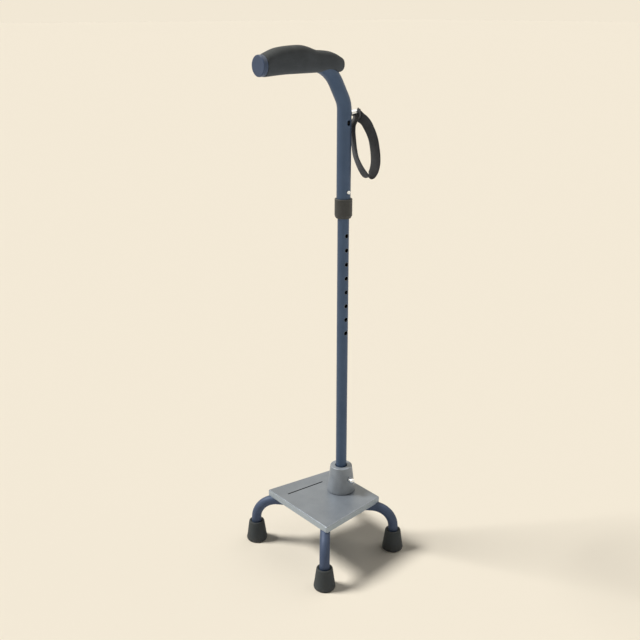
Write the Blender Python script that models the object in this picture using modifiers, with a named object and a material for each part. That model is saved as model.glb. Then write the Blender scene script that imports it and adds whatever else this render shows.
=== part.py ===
"""Quad cane with an offset handle, a height button and a four-legged base.

Metres, +Z up, floor at z = 0. The handle points to -X, the height button faces -Y and
the wrist strap hangs on the +X side. Places are measured from the shaft's axis, which
stands at SHAFT_X so that the cane's box is centred on the origin.
"""
import math

import bmesh
import bpy
from mathutils import Vector

# Clearances
GAP = 0.0003               # between pieces that touch
RUN_GAP = 0.0004           # round a piece that slides or turns inside another

# Shaft tubes
UPPER_TUBE_R = 0.0115
TUBE_WALL = 0.0016
LOWER_TUBE_LENGTH = 0.5592
TUBE_SIDES = 24

# Height adjustment
HOLE_PITCH = 0.024
HOLE_COUNT = 11            # places counted down from the button
BLIND_PLACE = 2            # the one place in the row without a hole
HOLE_R = 0.0036
BUTTON_BELOW_TOP = 0.0178  # button's axis below the lower tube's top end
BUTTON_PROUD = 0.0030      # how far the button stands out of the upper tube
TUBE_BELOW_BUTTON = 0.0302 # upper tube's bottom end below the button's axis
SLOT_ABOVE_BUTTON = 0.1088
SLOT_WIDTH = 0.0062
SLOT_HEIGHT = 0.0086
LEAF_WIDTH = 0.0050
LEAF_THICKNESS = 0.0008
LEAF_INSET = 0.0027        # leaf's distance from the wall of the lower tube's bore
HOOK_LENGTH = 0.0035       # straight hook that goes into the upper tube's slot
HOOK_FALL = 0.0160         # height over which the leaf comes back from the hook

# Lock collar
COLLAR_WALL = 0.0026
COLLAR_LENGTH = 0.0320
COLLAR_BELOW_TUBE = 0.0130 # how far the collar reaches past the upper tube's end
COLLAR_LIP = 0.0030
COLLAR_CHAMFER = 0.0023    # at the bottom, and a third of it at the top

# Bend and handle
HANDLE_REACH = 0.1645      # shaft's axis to the outer face of the grip's end cap
BEND_ABOVE_BUTTON = 0.1278 # start of the lower bend above the button's axis
LOWER_BEND_R = 0.040
LEAN = 29                  # degrees that the tube leans forward between its two bends
LEAN_LENGTH = 0.0254       # straight run between the bends
UPPER_BEND_R = 0.060
CAP_RIM = 0.0040           # how far the cap stands out round the tube
CAP_THICKNESS = 0.0077
CAP_EDGE = 0.0015          # rounding of the cap's outer edge
CAP_SPIGOT = 0.0080
NOSE_REACH = 0.0055        # grip's rear nose, in front of the shaft's axis

# Foam over the tube along the grip. Each row is the distance from the grip's front end
# and the foam's thickness above, below and beside the tube's straight line.
GRIP_STATIONS = (
    (0.0000, 0.0042, 0.0044, 0.0038),
    (0.0100, 0.0082, 0.0040, 0.0044),
    (0.0220, 0.0122, 0.0032, 0.0049),
    (0.0380, 0.0144, 0.0025, 0.0052),
    (0.0560, 0.0154, 0.0023, 0.0052),
    (0.0690, 0.0153, 0.0023, 0.0050),
    (0.0800, 0.0131, 0.0023, 0.0044),
    (0.0900, 0.0098, 0.0023, 0.0038),
    (0.0980, 0.0076, 0.0023, 0.0034),
    (0.1080, 0.0070, 0.0023, 0.0033),
    (0.1220, 0.0053, 0.0025, 0.0032),
    (0.1335, 0.0018, 0.0029, 0.0028),
    (0.1435, -0.0028, 0.0033, 0.0006),
    (0.1478, -0.0052, 0.0012, -0.0014),
    (0.1510, -0.0084, -0.0034, -0.0056),
)
GRIP_POINTS = 20           # round each section
GRIP_SQUARENESS = 2.4      # exponent of the section's superellipse

# Wrist strap and its pin
PIN_ABOVE_BUTTON = 0.1228
PIN_R = 0.0050
PIN_LENGTH = 0.0130        # sleeve between the tube and the webbing
PIN_NECK_R = 0.0026
PIN_BORE_R = 0.0017
STRAP_WIDTH = 0.0190
STRAP_THICKNESS = 0.0018
STRAP_WASHER = 0.0010
STRAP_WASHER_R = 0.0042
STRAP_SCREW_HEAD = 0.0022

# Course of the webbing. Each row is its centre past the inner layer at the pin in X, its
# Y, its height over the pin, then the turn of its width about the vertical and the rise of
# its far edge, both in degrees. It starts with the end that lies next to the sleeve, goes
# down beside the shaft, round the foot of the loop and up to the end that lies outside.
STRAP_LAP = STRAP_THICKNESS + GAP
STRAP_COURSE = (
    (0.0000, 0.0013, 0.0048, 0, -15),
    (0.0000, 0.0000, 0.0000, 0, -15),
    (0.0000, -0.0013, -0.0050, 0, -15),
    (-0.0006, -0.0016, -0.0066, 0, -14),
    (-0.0021, -0.0018, -0.0087, -1, -13),
    (-0.0046, -0.0018, -0.0112, -3, -11),
    (-0.0078, -0.0016, -0.0150, -5, -8),
    (-0.0101, -0.0014, -0.0197, -8, -4),
    (-0.0104, -0.0016, -0.0277, -11, -2),
    (-0.0093, -0.0023, -0.0379, -14, 0),
    (-0.0065, -0.0023, -0.0531, -17, 0),
    (-0.0030, -0.0020, -0.0671, -15, 0),
    (0.0005, -0.0031, -0.0767, -12, 0),
    (0.0050, -0.0048, -0.0865, -8, -2),
    (0.0095, -0.0076, -0.0953, -4, -6),
    (0.0150, -0.0104, -0.1021, 0, -8),
    (0.0195, -0.0140, -0.1012, 4, -6),
    (0.0230, -0.0176, -0.0931, 7, -3),
    (0.0250, -0.0191, -0.0816, 9, 0),
    (0.0250, -0.0189, -0.0683, 10, 0),
    (0.0240, -0.0179, -0.0567, 10, 0),
    (0.0215, -0.0171, -0.0437, 11, 0),
    (0.0185, -0.0155, -0.0338, 13, -5),
    (0.0145, -0.0139, -0.0249, 13, -15),
    (0.0100, -0.0123, -0.0167, 12, -24),
    (0.0060, -0.0097, -0.0111, 8, -34),
    (0.0035, -0.0072, -0.0076, 4, -44),
    (STRAP_LAP + 0.0003, -0.0046, -0.0042, 1, -50),
    (STRAP_LAP, -0.0026, -0.0021, 0, -52),
    (STRAP_LAP, 0.0000, 0.0000, 0, -52),
    (STRAP_LAP, 0.0029, 0.0023, 0, -52),
)
STRAP_STEPS = 2            # lengths of webbing between two rows

# Base plate, a pressed tray that narrows to the rear
PLATE_TOP = 0.1005
PLATE_SHEET = 0.0022
PLATE_DEPTH = 0.0110
PLATE_FRONT = 0.1031
PLATE_REAR = 0.0350
PLATE_FRONT_HALF = 0.0819
PLATE_REAR_HALF = 0.0646
PLATE_CORNER_R = 0.0032
PLATE_EDGE_R = 0.0024
GROOVE_START = (-0.0840, 0.0461)
GROOVE_END = (-0.0116, 0.0407)
GROOVE_WIDTH = 0.0022
GROOVE_DEPTH = 0.0013

# Hub
HUB_BASE_R = 0.0249
HUB_RIM_R = 0.0193
HUB_HEIGHT = 0.0488
HUB_ROUND = 0.0010
HUB_FOOT = 0.0012          # chamfer round the hub's foot
HUB_MOUTH_FLARE = 0.0010   # widening of the bore at the hub's top
HUB_MOUTH_DEPTH = 0.0018
SCREW_ABOVE_PLATE = 0.0285
SCREW_HEAD_R = 0.0042
SCREW_HEAD_LENGTH = 0.0114
SCREW_SHANK_R = 0.0030

# Legs and their sockets
LEG_R = 0.0086
LEG_WALL = 0.0015
LEG_SIDES = 16
LEG_BEND = 0.039
LEG_SPACE = 0.0067         # between the plate's underside and the legs
FRONT_FOOT = (-0.1196, 0.0961)
REAR_FOOT = (0.0500, 0.0850)
SOCKET_R = 0.0200
SOCKET_HOLE_R = 0.0043
SOCKET_DEPTH = 0.0055      # how far a leg reaches into the socket block
SOCKET_FLOOR = 0.0025
CLAMP_LENGTH = 0.0100
CLAMP_WALL = 0.0015
CLAMP_REACH = 0.0580       # from the middle of the socket block
CLAMP_SCREW_R = 0.0020
CLAMP_HEAD_R = 0.0038
CLAMP_HEAD = 0.0024

# Bolts through the plate into the hub
BOLT_CIRCLE_R = 0.0170
BOLT_R = 0.0025
BOLT_HEAD_R = 0.0046
BOLT_HEAD = 0.0035
BOLT_IN_HUB = 0.0120
CENTRE_BOLT_R = 0.0040
CENTRE_HEAD_R = 0.0070
CENTRE_HEAD = 0.0053
CENTRE_WASHER_R = 0.0090
CENTRE_WASHER = 0.0015
PLUG_LENGTH = 0.0240
BUSH_FLANGE = 0.0020
BUSH_SPIGOT = 0.0100
BUSH_WALL = 0.0010

# Rubber tips
TIP_BASE_R = 0.0185
TIP_RIM_R = 0.0138
TIP_HEIGHT = 0.0380
TIP_FLOOR = 0.0080
TIP_DISH = 0.0012
TIP_TOE = 0.0085           # height of the nearly upright foot of the tip
TIP_ROUND = 0.0018         # rounding of its bottom edge
TREAD_R = 0.0110
TREAD_DEPTH = 0.0015
TIP_WASHER = 0.0012

# Sizes and places that follow from those above
SHAFT_X = (HANDLE_REACH - REAR_FOOT[0] - TIP_BASE_R) / 2
UPPER_BORE_R = UPPER_TUBE_R - TUBE_WALL
LOWER_TUBE_R = UPPER_BORE_R - RUN_GAP
LOWER_BORE_R = LOWER_TUBE_R - TUBE_WALL
LEAF_DEPTH = LOWER_BORE_R - LEAF_INSET
COLLAR_BORE_R = UPPER_TUBE_R + GAP
COLLAR_R = COLLAR_BORE_R + COLLAR_WALL
CAP_R = UPPER_TUBE_R + CAP_RIM
HUB_BORE_R = LOWER_TUBE_R + RUN_GAP
LOWER_TUBE_BOTTOM = PLATE_TOP + GAP
LOWER_TUBE_TOP = LOWER_TUBE_BOTTOM + LOWER_TUBE_LENGTH
BUTTON_Z = LOWER_TUBE_TOP - BUTTON_BELOW_TOP
BUTTON_R = HOLE_R - GAP
UPPER_TUBE_BOTTOM = BUTTON_Z - TUBE_BELOW_BUTTON
SLOT_Z = BUTTON_Z + SLOT_ABOVE_BUTTON
COLLAR_BOTTOM = UPPER_TUBE_BOTTOM - COLLAR_BELOW_TUBE
BEND_Z = BUTTON_Z + BEND_ABOVE_BUTTON
LEAN_SINE = math.sin(math.radians(LEAN))
LEAN_COSINE = math.cos(math.radians(LEAN))
HANDLE_Z = (BEND_Z + LOWER_BEND_R * LEAN_SINE + LEAN_LENGTH * LEAN_COSINE
            + UPPER_BEND_R * (1 - LEAN_SINE))
HANDLE_START = (LOWER_BEND_R * (1 - LEAN_COSINE) + LEAN_LENGTH * LEAN_SINE
                + UPPER_BEND_R * LEAN_COSINE)
PIN_Z = BUTTON_Z + PIN_ABOVE_BUTTON
PIN_END = UPPER_TUBE_R + GAP + PIN_LENGTH
GRIP_FRONT = HANDLE_REACH - CAP_THICKNESS - GAP
GRIP_STRETCH = (GRIP_FRONT - NOSE_REACH) / GRIP_STATIONS[-1][0]
WEBBING_END = PIN_END + 2 * GAP + 2 * STRAP_LAP
PLATE_UNDER = PLATE_TOP - PLATE_SHEET
HUB_BOTTOM = PLATE_TOP + GAP
HUB_TOP = PLATE_TOP + HUB_HEIGHT
SCREW_Z = PLATE_TOP + SCREW_ABOVE_PLATE
LEG_Z = PLATE_UNDER - LEG_SPACE - LEG_R
SKIRT_INSIDE = PLATE_REAR - PLATE_SHEET
LEG_CROSS = (PLATE_REAR - PLATE_FRONT) / 2
LEG_START = SOCKET_R - SOCKET_DEPTH
LEG_HOLE_R = LEG_R + GAP
LEG_BOTTOM = TIP_FLOOR + GAP + TIP_WASHER + GAP
SOCKET_BOTTOM = LEG_Z - LEG_HOLE_R - SOCKET_FLOOR
CLAMP_HALF = LEG_HOLE_R + CLAMP_WALL
CLAMP_BOTTOM = LEG_Z - CLAMP_HALF

LEGS = {
    "front_left": (FRONT_FOOT[0], -FRONT_FOOT[1]),
    "front_right": FRONT_FOOT,
    "rear_left": (REAR_FOOT[0], -REAR_FOOT[1]),
    "rear_right": REAR_FOOT,
}

# Directions that a turned piece's own +Z can take
TO_FRONT = (0, -math.pi / 2, 0)
TO_REAR = (0, math.pi / 2, 0)
TO_LEFT = (math.pi / 2, 0, 0)


def clear_scene():
    for obj in list(bpy.data.objects):
        bpy.data.objects.remove(obj, do_unlink=True)


def new_collection(name):
    collection = bpy.data.collections.new(name)
    bpy.context.scene.collection.children.link(collection)
    return collection


def linear(value):
    """A colour channel from 0 to 255 as the eye sees it, in linear light."""
    share = value / 255
    return share / 12.92 if share <= 0.04045 else ((share + 0.055) / 1.055) ** 2.4


def material(name, colour, roughness, metallic=0.0):
    made = bpy.data.materials.get(name)
    if made:
        return made
    made = bpy.data.materials.new(name)
    made.use_nodes = True
    shader = made.node_tree.nodes["Principled BSDF"]
    shader.inputs["Base Color"].default_value = (*[linear(c) for c in colour], 1)
    shader.inputs["Roughness"].default_value = roughness
    shader.inputs["Metallic"].default_value = metallic
    return made


def blue_paint():
    return material("blue_paint", (70, 86, 104), 0.45)


def blue_plastic():
    return material("blue_plastic", (80, 92, 108), 0.45)


def plate_paint():
    return material("plate_paint", (138, 143, 146), 0.45, 0.3)


def grey_casting():
    return material("grey_casting", (125, 130, 133), 0.5, 0.5)


def bright_steel():
    return material("bright_steel", (200, 204, 210), 0.25, 1.0)


def plain_steel():
    return material("plain_steel", (140, 143, 146), 0.4, 1.0)


def grip_foam():
    return material("grip_foam", (62, 62, 60), 0.9)


def dark_nylon():
    return material("dark_nylon", (58, 58, 55), 0.55)


def black_rubber():
    return material("black_rubber", (50, 52, 50), 0.8)


def webbing():
    return material("webbing", (57, 57, 57), 0.85)


def keep(obj, finish):
    """Put a finished piece on the shaft's axis, in the cane's collection."""
    obj.parent = shaft_axis
    cane.objects.link(obj)
    obj.data.materials.clear()
    obj.data.materials.append(finish)
    obj.data.shade_smooth()
    obj.data.set_sharp_from_angle(angle=math.radians(35))
    return obj


def as_cutter(obj):
    obj.parent = shaft_axis
    cutters.objects.link(obj)
    obj.hide_render = True
    obj.display_type = "WIRE"
    return obj


def combine(obj, other, operation):
    step = obj.modifiers.new(operation.lower(), "BOOLEAN")
    step.operation = operation
    step.solver = "EXACT"
    step.object = as_cutter(other)


def cut(obj, other):
    combine(obj, other, "DIFFERENCE")


def join(obj, other):
    combine(obj, other, "UNION")


def from_bmesh(name, bm, location=(0, 0, 0), rotation=(0, 0, 0)):
    mesh = bpy.data.meshes.new(name)
    bm.to_mesh(mesh)
    bm.free()
    obj = bpy.data.objects.new(name, mesh)
    obj.location = location
    obj.rotation_euler = rotation
    return obj


def turned(name, profile, steps=TUBE_SIDES, location=(0, 0, 0), rotation=(0, 0, 0)):
    """Turn a profile of (radius, height) about its own Z. A profile that never meets the
    axis is closed into a ring. Its outer side runs from top to bottom."""
    bm = bmesh.new()
    points = [bm.verts.new((radius, 0, height)) for radius, height in profile]
    for start, end in zip(points, points[1:]):
        bm.edges.new((start, end))
    if min(radius for radius, height in profile) > 0:
        bm.edges.new((points[-1], points[0]))
    obj = from_bmesh(name, bm, location, rotation)
    screw = obj.modifiers.new("turn", "SCREW")
    screw.angle = 2 * math.pi
    screw.steps = steps
    screw.render_steps = steps
    screw.use_merge_vertices = True
    screw.merge_threshold = 0.00001
    return obj


def dome(radius, shoulder, crown):
    """Start of a turned piece's profile: a rounded end down to just above its shoulder."""
    points = [(0, crown)]
    for angle in (math.radians(60), math.radians(30)):
        points.append((radius * math.cos(angle), shoulder + (crown - shoulder) * math.sin(angle)))
    return points


def rod(name, radius, start, end, sides=16):
    """A plain cylinder between two points."""
    start = Vector(start)
    along = Vector(end) - start
    bm = bmesh.new()
    bmesh.ops.create_cone(bm, cap_ends=True, segments=sides, radius1=radius, radius2=radius,
                          depth=along.length)
    turn = along.to_track_quat("Z", "Y").to_euler()
    return from_bmesh(name, bm, start + along / 2, turn)


def block(name, size, centre, turn=0.0):
    bm = bmesh.new()
    bmesh.ops.create_cube(bm, size=1)
    bmesh.ops.scale(bm, vec=size, verts=bm.verts)
    return from_bmesh(name, bm, centre, (0, 0, turn))


def bent(name, path, radius, sides, wall=0.0, location=(0, 0, 0), rotation=(0, 0, 0)):
    """A round bar along a path, or a tube where a wall is given."""
    curve = bpy.data.curves.new(name, "CURVE")
    curve.dimensions = "3D"
    curve.bevel_depth = radius
    curve.bevel_resolution = (sides - 4) // 2
    curve.use_fill_caps = wall == 0
    spline = curve.splines.new("POLY")
    spline.points.add(len(path) - 1)
    for point, place in zip(spline.points, path):
        point.co = (*place, 1)
    guide = bpy.data.objects.new(name, curve)
    guide.location = location
    guide.rotation_euler = rotation
    bpy.context.scene.collection.objects.link(guide)
    if wall:
        shell = guide.modifiers.new("wall", "SOLIDIFY")
        shell.thickness = wall
        shell.offset = -1
        shell.use_even_offset = True
    bpy.context.view_layer.update()
    solid = guide.evaluated_get(bpy.context.evaluated_depsgraph_get())
    mesh = bpy.data.meshes.new_from_object(solid)
    place = guide.matrix_world.copy()
    bpy.data.objects.remove(guide, do_unlink=True)
    bm = bmesh.new()
    bm.from_mesh(mesh)
    bmesh.ops.remove_doubles(bm, verts=bm.verts, dist=0.000001)
    bm.to_mesh(mesh)
    bm.free()
    obj = bpy.data.objects.new(name, mesh)
    obj.matrix_world = place
    return obj


def arc(centre, radius, start, end, steps):
    """Points on an arc in the XZ plane, by angle from +X towards +Z."""
    points = []
    for step in range(steps + 1):
        angle = math.radians(start + (end - start) * step / steps)
        x = centre[0] + radius * math.cos(angle)
        z = centre[1] + radius * math.sin(angle)
        points.append((x, 0, z))
    return points


def handle_path(front, bottom):
    """The upper tube's centre line, from its bottom end to the front of the handle."""
    lower = arc((-LOWER_BEND_R, BEND_Z), LOWER_BEND_R, 0, LEAN, 5)
    centre = (-HANDLE_START, HANDLE_Z - UPPER_BEND_R)
    upper = arc(centre, UPPER_BEND_R, LEAN, 90, 8)
    return [(0, 0, bottom), *lower, *upper, (-front, 0, HANDLE_Z)]


def hole_places():
    return [BUTTON_Z - n * HOLE_PITCH for n in range(HOLE_COUNT) if n != BLIND_PLACE]


def lower_tube():
    profile = (
        (LOWER_BORE_R, LOWER_TUBE_BOTTOM),
        (LOWER_BORE_R, LOWER_TUBE_TOP),
        (LOWER_TUBE_R, LOWER_TUBE_TOP),
        (LOWER_TUBE_R, LOWER_TUBE_BOTTOM),
    )
    tube = turned("lower_tube", profile)
    for n, height in enumerate(hole_places()):
        start = (0, 0, height)
        cut(tube, rod(f"hole_{n}", HOLE_R, start, (0, -2 * LOWER_TUBE_R, height), 12))
    return keep(tube, blue_paint())


def tube_plug():
    """Threaded plug pressed into the lower tube's bottom end."""
    radius = LOWER_BORE_R - GAP
    hole = CENTRE_BOLT_R + GAP
    top = LOWER_TUBE_BOTTOM + PLUG_LENGTH
    profile = (
        (hole, LOWER_TUBE_BOTTOM),
        (hole, top),
        (radius, top),
        (radius, LOWER_TUBE_BOTTOM),
    )
    return keep(turned("tube_plug", profile, 20), dark_nylon())


def guide_bush():
    """Flanged ring on the lower tube's top end, which runs in the upper tube's bore."""
    spigot = LOWER_BORE_R - GAP
    hole = spigot - BUSH_WALL
    seat = LOWER_TUBE_TOP + GAP
    profile = (
        (hole, seat - BUSH_SPIGOT),
        (hole, seat + BUSH_FLANGE),
        (LOWER_TUBE_R, seat + BUSH_FLANGE),
        (LOWER_TUBE_R, seat),
        (spigot, seat),
        (spigot, seat - BUSH_SPIGOT),
    )
    return keep(turned("guide_bush", profile), dark_nylon())


def upper_tube():
    path = handle_path(GRIP_FRONT, UPPER_TUBE_BOTTOM)
    tube = bent("upper_tube", path, UPPER_TUBE_R, TUBE_SIDES, wall=TUBE_WALL)
    outside = -2 * UPPER_TUBE_R
    cut(tube, rod("button_hole", HOLE_R, (0, 0, BUTTON_Z), (0, outside, BUTTON_Z)))
    slot = rod("spring_slot", SLOT_WIDTH / 2, (0, 0, SLOT_Z), (0, outside, SLOT_Z))
    for vert in slot.data.vertices:
        vert.co.y += math.copysign((SLOT_HEIGHT - SLOT_WIDTH) / 2, vert.co.y)
    cut(tube, slot)
    pin_hole = PIN_NECK_R + GAP
    cut(tube, rod("pin_hole", pin_hole, (0, 0, PIN_Z), (-outside, 0, PIN_Z)))
    return keep(tube, blue_paint())


def superellipse(angle, exponent):
    across = math.cos(angle)
    up = math.sin(angle)
    power = 2 / exponent
    return (math.copysign(abs(across) ** power, across), math.copysign(abs(up) ** power, up))


def handgrip():
    """Foam body lofted over its stations, then bored for the tube that bends out of it."""
    bm = bmesh.new()
    rings = []
    for along, above, below, beside in GRIP_STATIONS:
        x = -GRIP_FRONT + along * GRIP_STRETCH
        top = HANDLE_Z + UPPER_TUBE_R + above
        bottom = HANDLE_Z - UPPER_TUBE_R - below
        ring = []
        for point in range(GRIP_POINTS):
            across, up = superellipse(2 * math.pi * point / GRIP_POINTS, GRIP_SQUARENESS)
            y = across * (UPPER_TUBE_R + beside)
            z = (top + bottom) / 2 + up * (top - bottom) / 2
            ring.append(bm.verts.new((x, y, z)))
        rings.append(ring)
    bm.faces.new(reversed(rings[0]))
    bm.faces.new(rings[-1])
    for ring, following in zip(rings, rings[1:]):
        for point in range(GRIP_POINTS):
            after = (point + 1) % GRIP_POINTS
            bm.faces.new((ring[point], ring[after], following[after], following[point]))
    bmesh.ops.recalc_face_normals(bm, faces=bm.faces)
    grip = from_bmesh("handgrip", bm)
    path = handle_path(GRIP_FRONT + CAP_R, UPPER_TUBE_BOTTOM)
    cut(grip, bent("grip_bore", path, UPPER_TUBE_R + GAP, TUBE_SIDES))
    return keep(grip, grip_foam())


def grip_end_cap():
    """Round cap with a spigot in the front end of the upper tube."""
    profile = (
        (0, CAP_THICKNESS),
        (CAP_R - CAP_EDGE, CAP_THICKNESS),
        (CAP_R - CAP_EDGE / 3, CAP_THICKNESS - CAP_EDGE / 3),
        (CAP_R, CAP_THICKNESS - CAP_EDGE),
        (CAP_R, 0),
        (UPPER_BORE_R - GAP, 0),
        (UPPER_BORE_R - GAP, -CAP_SPIGOT),
        (0, -CAP_SPIGOT),
    )
    place = (-GRIP_FRONT - GAP, 0, HANDLE_Z)
    return keep(turned("grip_end_cap", profile, 32, place, TO_FRONT), blue_plastic())


def button_spring():
    """Leaf that hooks in the upper tube's slot and carries the stud behind the button."""
    straight = -LEAF_DEPTH
    hook = -(UPPER_TUBE_R - GAP)
    elbow = hook + HOOK_LENGTH
    course = (
        (hook, SLOT_Z),
        (elbow, SLOT_Z),
        (elbow + LEAF_THICKNESS, SLOT_Z - HOOK_FALL / 8),
        (straight - LEAF_THICKNESS, SLOT_Z - HOOK_FALL / 2),
        (straight, SLOT_Z - HOOK_FALL),
        (straight, BUTTON_Z - 2 * BUTTON_R),
    )
    bm = bmesh.new()
    rows = []
    for y, z in course:
        rows.append([bm.verts.new((side * LEAF_WIDTH / 2, y, z)) for side in (-1, 1)])
    for row, after in zip(rows, rows[1:]):
        bm.faces.new((row[0], row[1], after[1], after[0]))
    leaf = from_bmesh("button_spring", bm)
    sheet = leaf.modifiers.new("sheet", "SOLIDIFY")
    sheet.thickness = LEAF_THICKNESS
    sheet.offset = 0
    sheet.use_even_offset = True
    stud_end = (0, -(LOWER_TUBE_R - GAP / 3), BUTTON_Z)
    join(leaf, rod("stud", BUTTON_R - GAP, (0, straight, BUTTON_Z), stud_end, 12))
    return keep(leaf, bright_steel())


def height_button():
    """Domed button that stands out of the upper tube, in front of the spring's stud."""
    seat = LOWER_TUBE_R + GAP
    shoulder = UPPER_TUBE_R + BUTTON_PROUD / 3
    profile = (
        *dome(BUTTON_R, shoulder, UPPER_TUBE_R + BUTTON_PROUD),
        (BUTTON_R, shoulder),
        (BUTTON_R, seat),
        (0, seat),
    )
    place = (0, 0, BUTTON_Z)
    return keep(turned("height_button", profile, 16, place, TO_LEFT), bright_steel())


def clamp_ring():
    """Split ring between the collar's lip and the upper tube's end."""
    inner = LOWER_TUBE_R + GAP
    bottom = COLLAR_BOTTOM + COLLAR_LIP + GAP
    top = UPPER_TUBE_BOTTOM - GAP
    profile = ((inner, bottom), (inner, top), (UPPER_TUBE_R, top), (UPPER_TUBE_R, bottom))
    ring = turned("clamp_ring", profile)
    split = (UPPER_TUBE_R, 4 * GAP, 2 * (top - bottom))
    cut(ring, block("ring_split", split, (UPPER_TUBE_R, 0, (top + bottom) / 2)))
    return keep(ring, dark_nylon())


def lock_collar():
    """Collar that screws onto the upper tube's end and squeezes the ring."""
    top = COLLAR_LENGTH
    throat = LOWER_TUBE_R + RUN_GAP + GAP
    edge = COLLAR_CHAMFER / 3
    profile = (
        (throat, 0),
        (throat, COLLAR_LIP),
        (COLLAR_BORE_R, COLLAR_LIP),
        (COLLAR_BORE_R, top),
        (COLLAR_R - edge, top),
        (COLLAR_R, top - edge),
        (COLLAR_R, 2 * COLLAR_CHAMFER),
        (COLLAR_R - COLLAR_CHAMFER, 0),
    )
    place = (0, 0, COLLAR_BOTTOM)
    return keep(turned("lock_collar", profile, 28, place), dark_nylon())


def strap_pin():
    """Sleeve that stands the strap off the tube, with a spigot through the tube's wall
    and a neck through the webbing, bored for the screw."""
    start = UPPER_TUBE_R + GAP
    neck_end = WEBBING_END + STRAP_WASHER
    profile = (
        (PIN_BORE_R, UPPER_BORE_R - TUBE_WALL),
        (PIN_BORE_R, neck_end),
        (PIN_NECK_R, neck_end),
        (PIN_NECK_R, PIN_END),
        (PIN_R, PIN_END),
        (PIN_R, start),
        (PIN_NECK_R, start),
        (PIN_NECK_R, UPPER_BORE_R - TUBE_WALL),
    )
    return keep(turned("strap_pin", profile, 20, (0, 0, PIN_Z), TO_REAR), bright_steel())


def strap_washer():
    hole = PIN_NECK_R + GAP
    start = WEBBING_END
    end = start + STRAP_WASHER - GAP
    profile = ((hole, start), (hole, end), (STRAP_WASHER_R, end), (STRAP_WASHER_R, start))
    return keep(turned("strap_washer", profile, 20, (0, 0, PIN_Z), TO_REAR), bright_steel())


def strap_screw():
    seat = WEBBING_END + STRAP_WASHER + GAP
    head = STRAP_WASHER_R - GAP
    shank = PIN_BORE_R - GAP
    profile = (
        *dome(head, seat, seat + STRAP_SCREW_HEAD),
        (head, seat),
        (shank, seat),
        (shank, UPPER_TUBE_R),
        (0, UPPER_TUBE_R),
    )
    return keep(turned("strap_screw", profile, 16, (0, 0, PIN_Z), TO_REAR), bright_steel())


def between(rows, share):
    """A row of values on the smooth line through four rows, between the middle two."""
    before, start, end, after = rows
    values = []
    for a, b, c, d in zip(before, start, end, after):
        bend = (2 * a - 5 * b + 4 * c - d) * share + (3 * (b - c) + d - a) * share ** 2
        values.append(b + 0.5 * share * (c - a + bend))
    return values


def strap_stations():
    """Centre and width direction of the webbing at each step of its course."""
    rows = (STRAP_COURSE[0], *STRAP_COURSE, STRAP_COURSE[-1])
    steps = [(n, s / STRAP_STEPS) for n in range(len(rows) - 3) for s in range(STRAP_STEPS)]
    steps.append((len(rows) - 4, 1.0))
    seat = PIN_END + GAP + STRAP_THICKNESS / 2
    centres = []
    widths = []
    for first, share in steps:
        x, y, z, turn, rise = between(rows[first:first + 4], share)
        turn = math.radians(turn)
        rise = math.radians(rise)
        level = math.cos(rise)
        centres.append(Vector((seat + x, y, z)))
        widths.append(Vector((-math.sin(turn) * level, math.cos(turn) * level, math.sin(rise))))
    return centres, widths


def wrist_strap():
    """Twisted loop of webbing whose two ends lie on each other on the pin's neck."""
    centres, widths = strap_stations()
    bm = bmesh.new()
    rows = []
    last = len(centres) - 1
    for n, (centre, width) in enumerate(zip(centres, widths)):
        along = (centres[min(n + 1, last)] - centres[max(n - 1, 0)]).normalized()
        across = (width - width.dot(along) * along).normalized() * STRAP_WIDTH / 2
        rows.append([bm.verts.new(centre - across), bm.verts.new(centre + across)])
    for row, after in zip(rows, rows[1:]):
        bm.faces.new((row[0], row[1], after[1], after[0]))
    strap = from_bmesh("wrist_strap", bm, (0, 0, PIN_Z))
    sheet = strap.modifiers.new("sheet", "SOLIDIFY")
    sheet.thickness = STRAP_THICKNESS
    sheet.offset = 0
    neck_end = (WEBBING_END + PIN_END, 0, PIN_Z)
    cut(strap, rod("strap_hole", PIN_NECK_R + GAP, (0, 0, PIN_Z), neck_end, 16))
    return keep(strap, webbing())


def foot_direction(foot):
    """Direction of a foot from the point under the plate's middle where the legs meet."""
    return math.atan2(foot[1], foot[0] - LEG_CROSS)


def leg_path(foot):
    """Centre line of a leg that points to +X, from its socket down to its foot."""
    reach = math.hypot(foot[0] - LEG_CROSS, foot[1])
    curve = arc((reach - LEG_BEND, LEG_Z - LEG_BEND), LEG_BEND, 90, 0, 8)
    return [(LEG_START, 0, LEG_Z), *curve, (reach, 0, LEG_BOTTOM)]


def polar(foot, distance, height):
    direction = foot_direction(foot)
    x = LEG_CROSS + distance * math.cos(direction)
    return (x, distance * math.sin(direction), height)


def leg(name, foot):
    turn = (0, 0, foot_direction(foot))
    tube = bent(f"leg_{name}", leg_path(foot), LEG_R, LEG_SIDES, wall=LEG_WALL,
                location=(LEG_CROSS, 0, 0), rotation=turn)
    low = polar(foot, CLAMP_REACH, CLAMP_BOTTOM - CLAMP_HEAD)
    high = polar(foot, CLAMP_REACH, LEG_Z)
    hole = rod(f"leg_hole_{name}", CLAMP_SCREW_R + GAP, low, high, 12)
    cut(tube, hole)
    return keep(tube, blue_paint())


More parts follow.
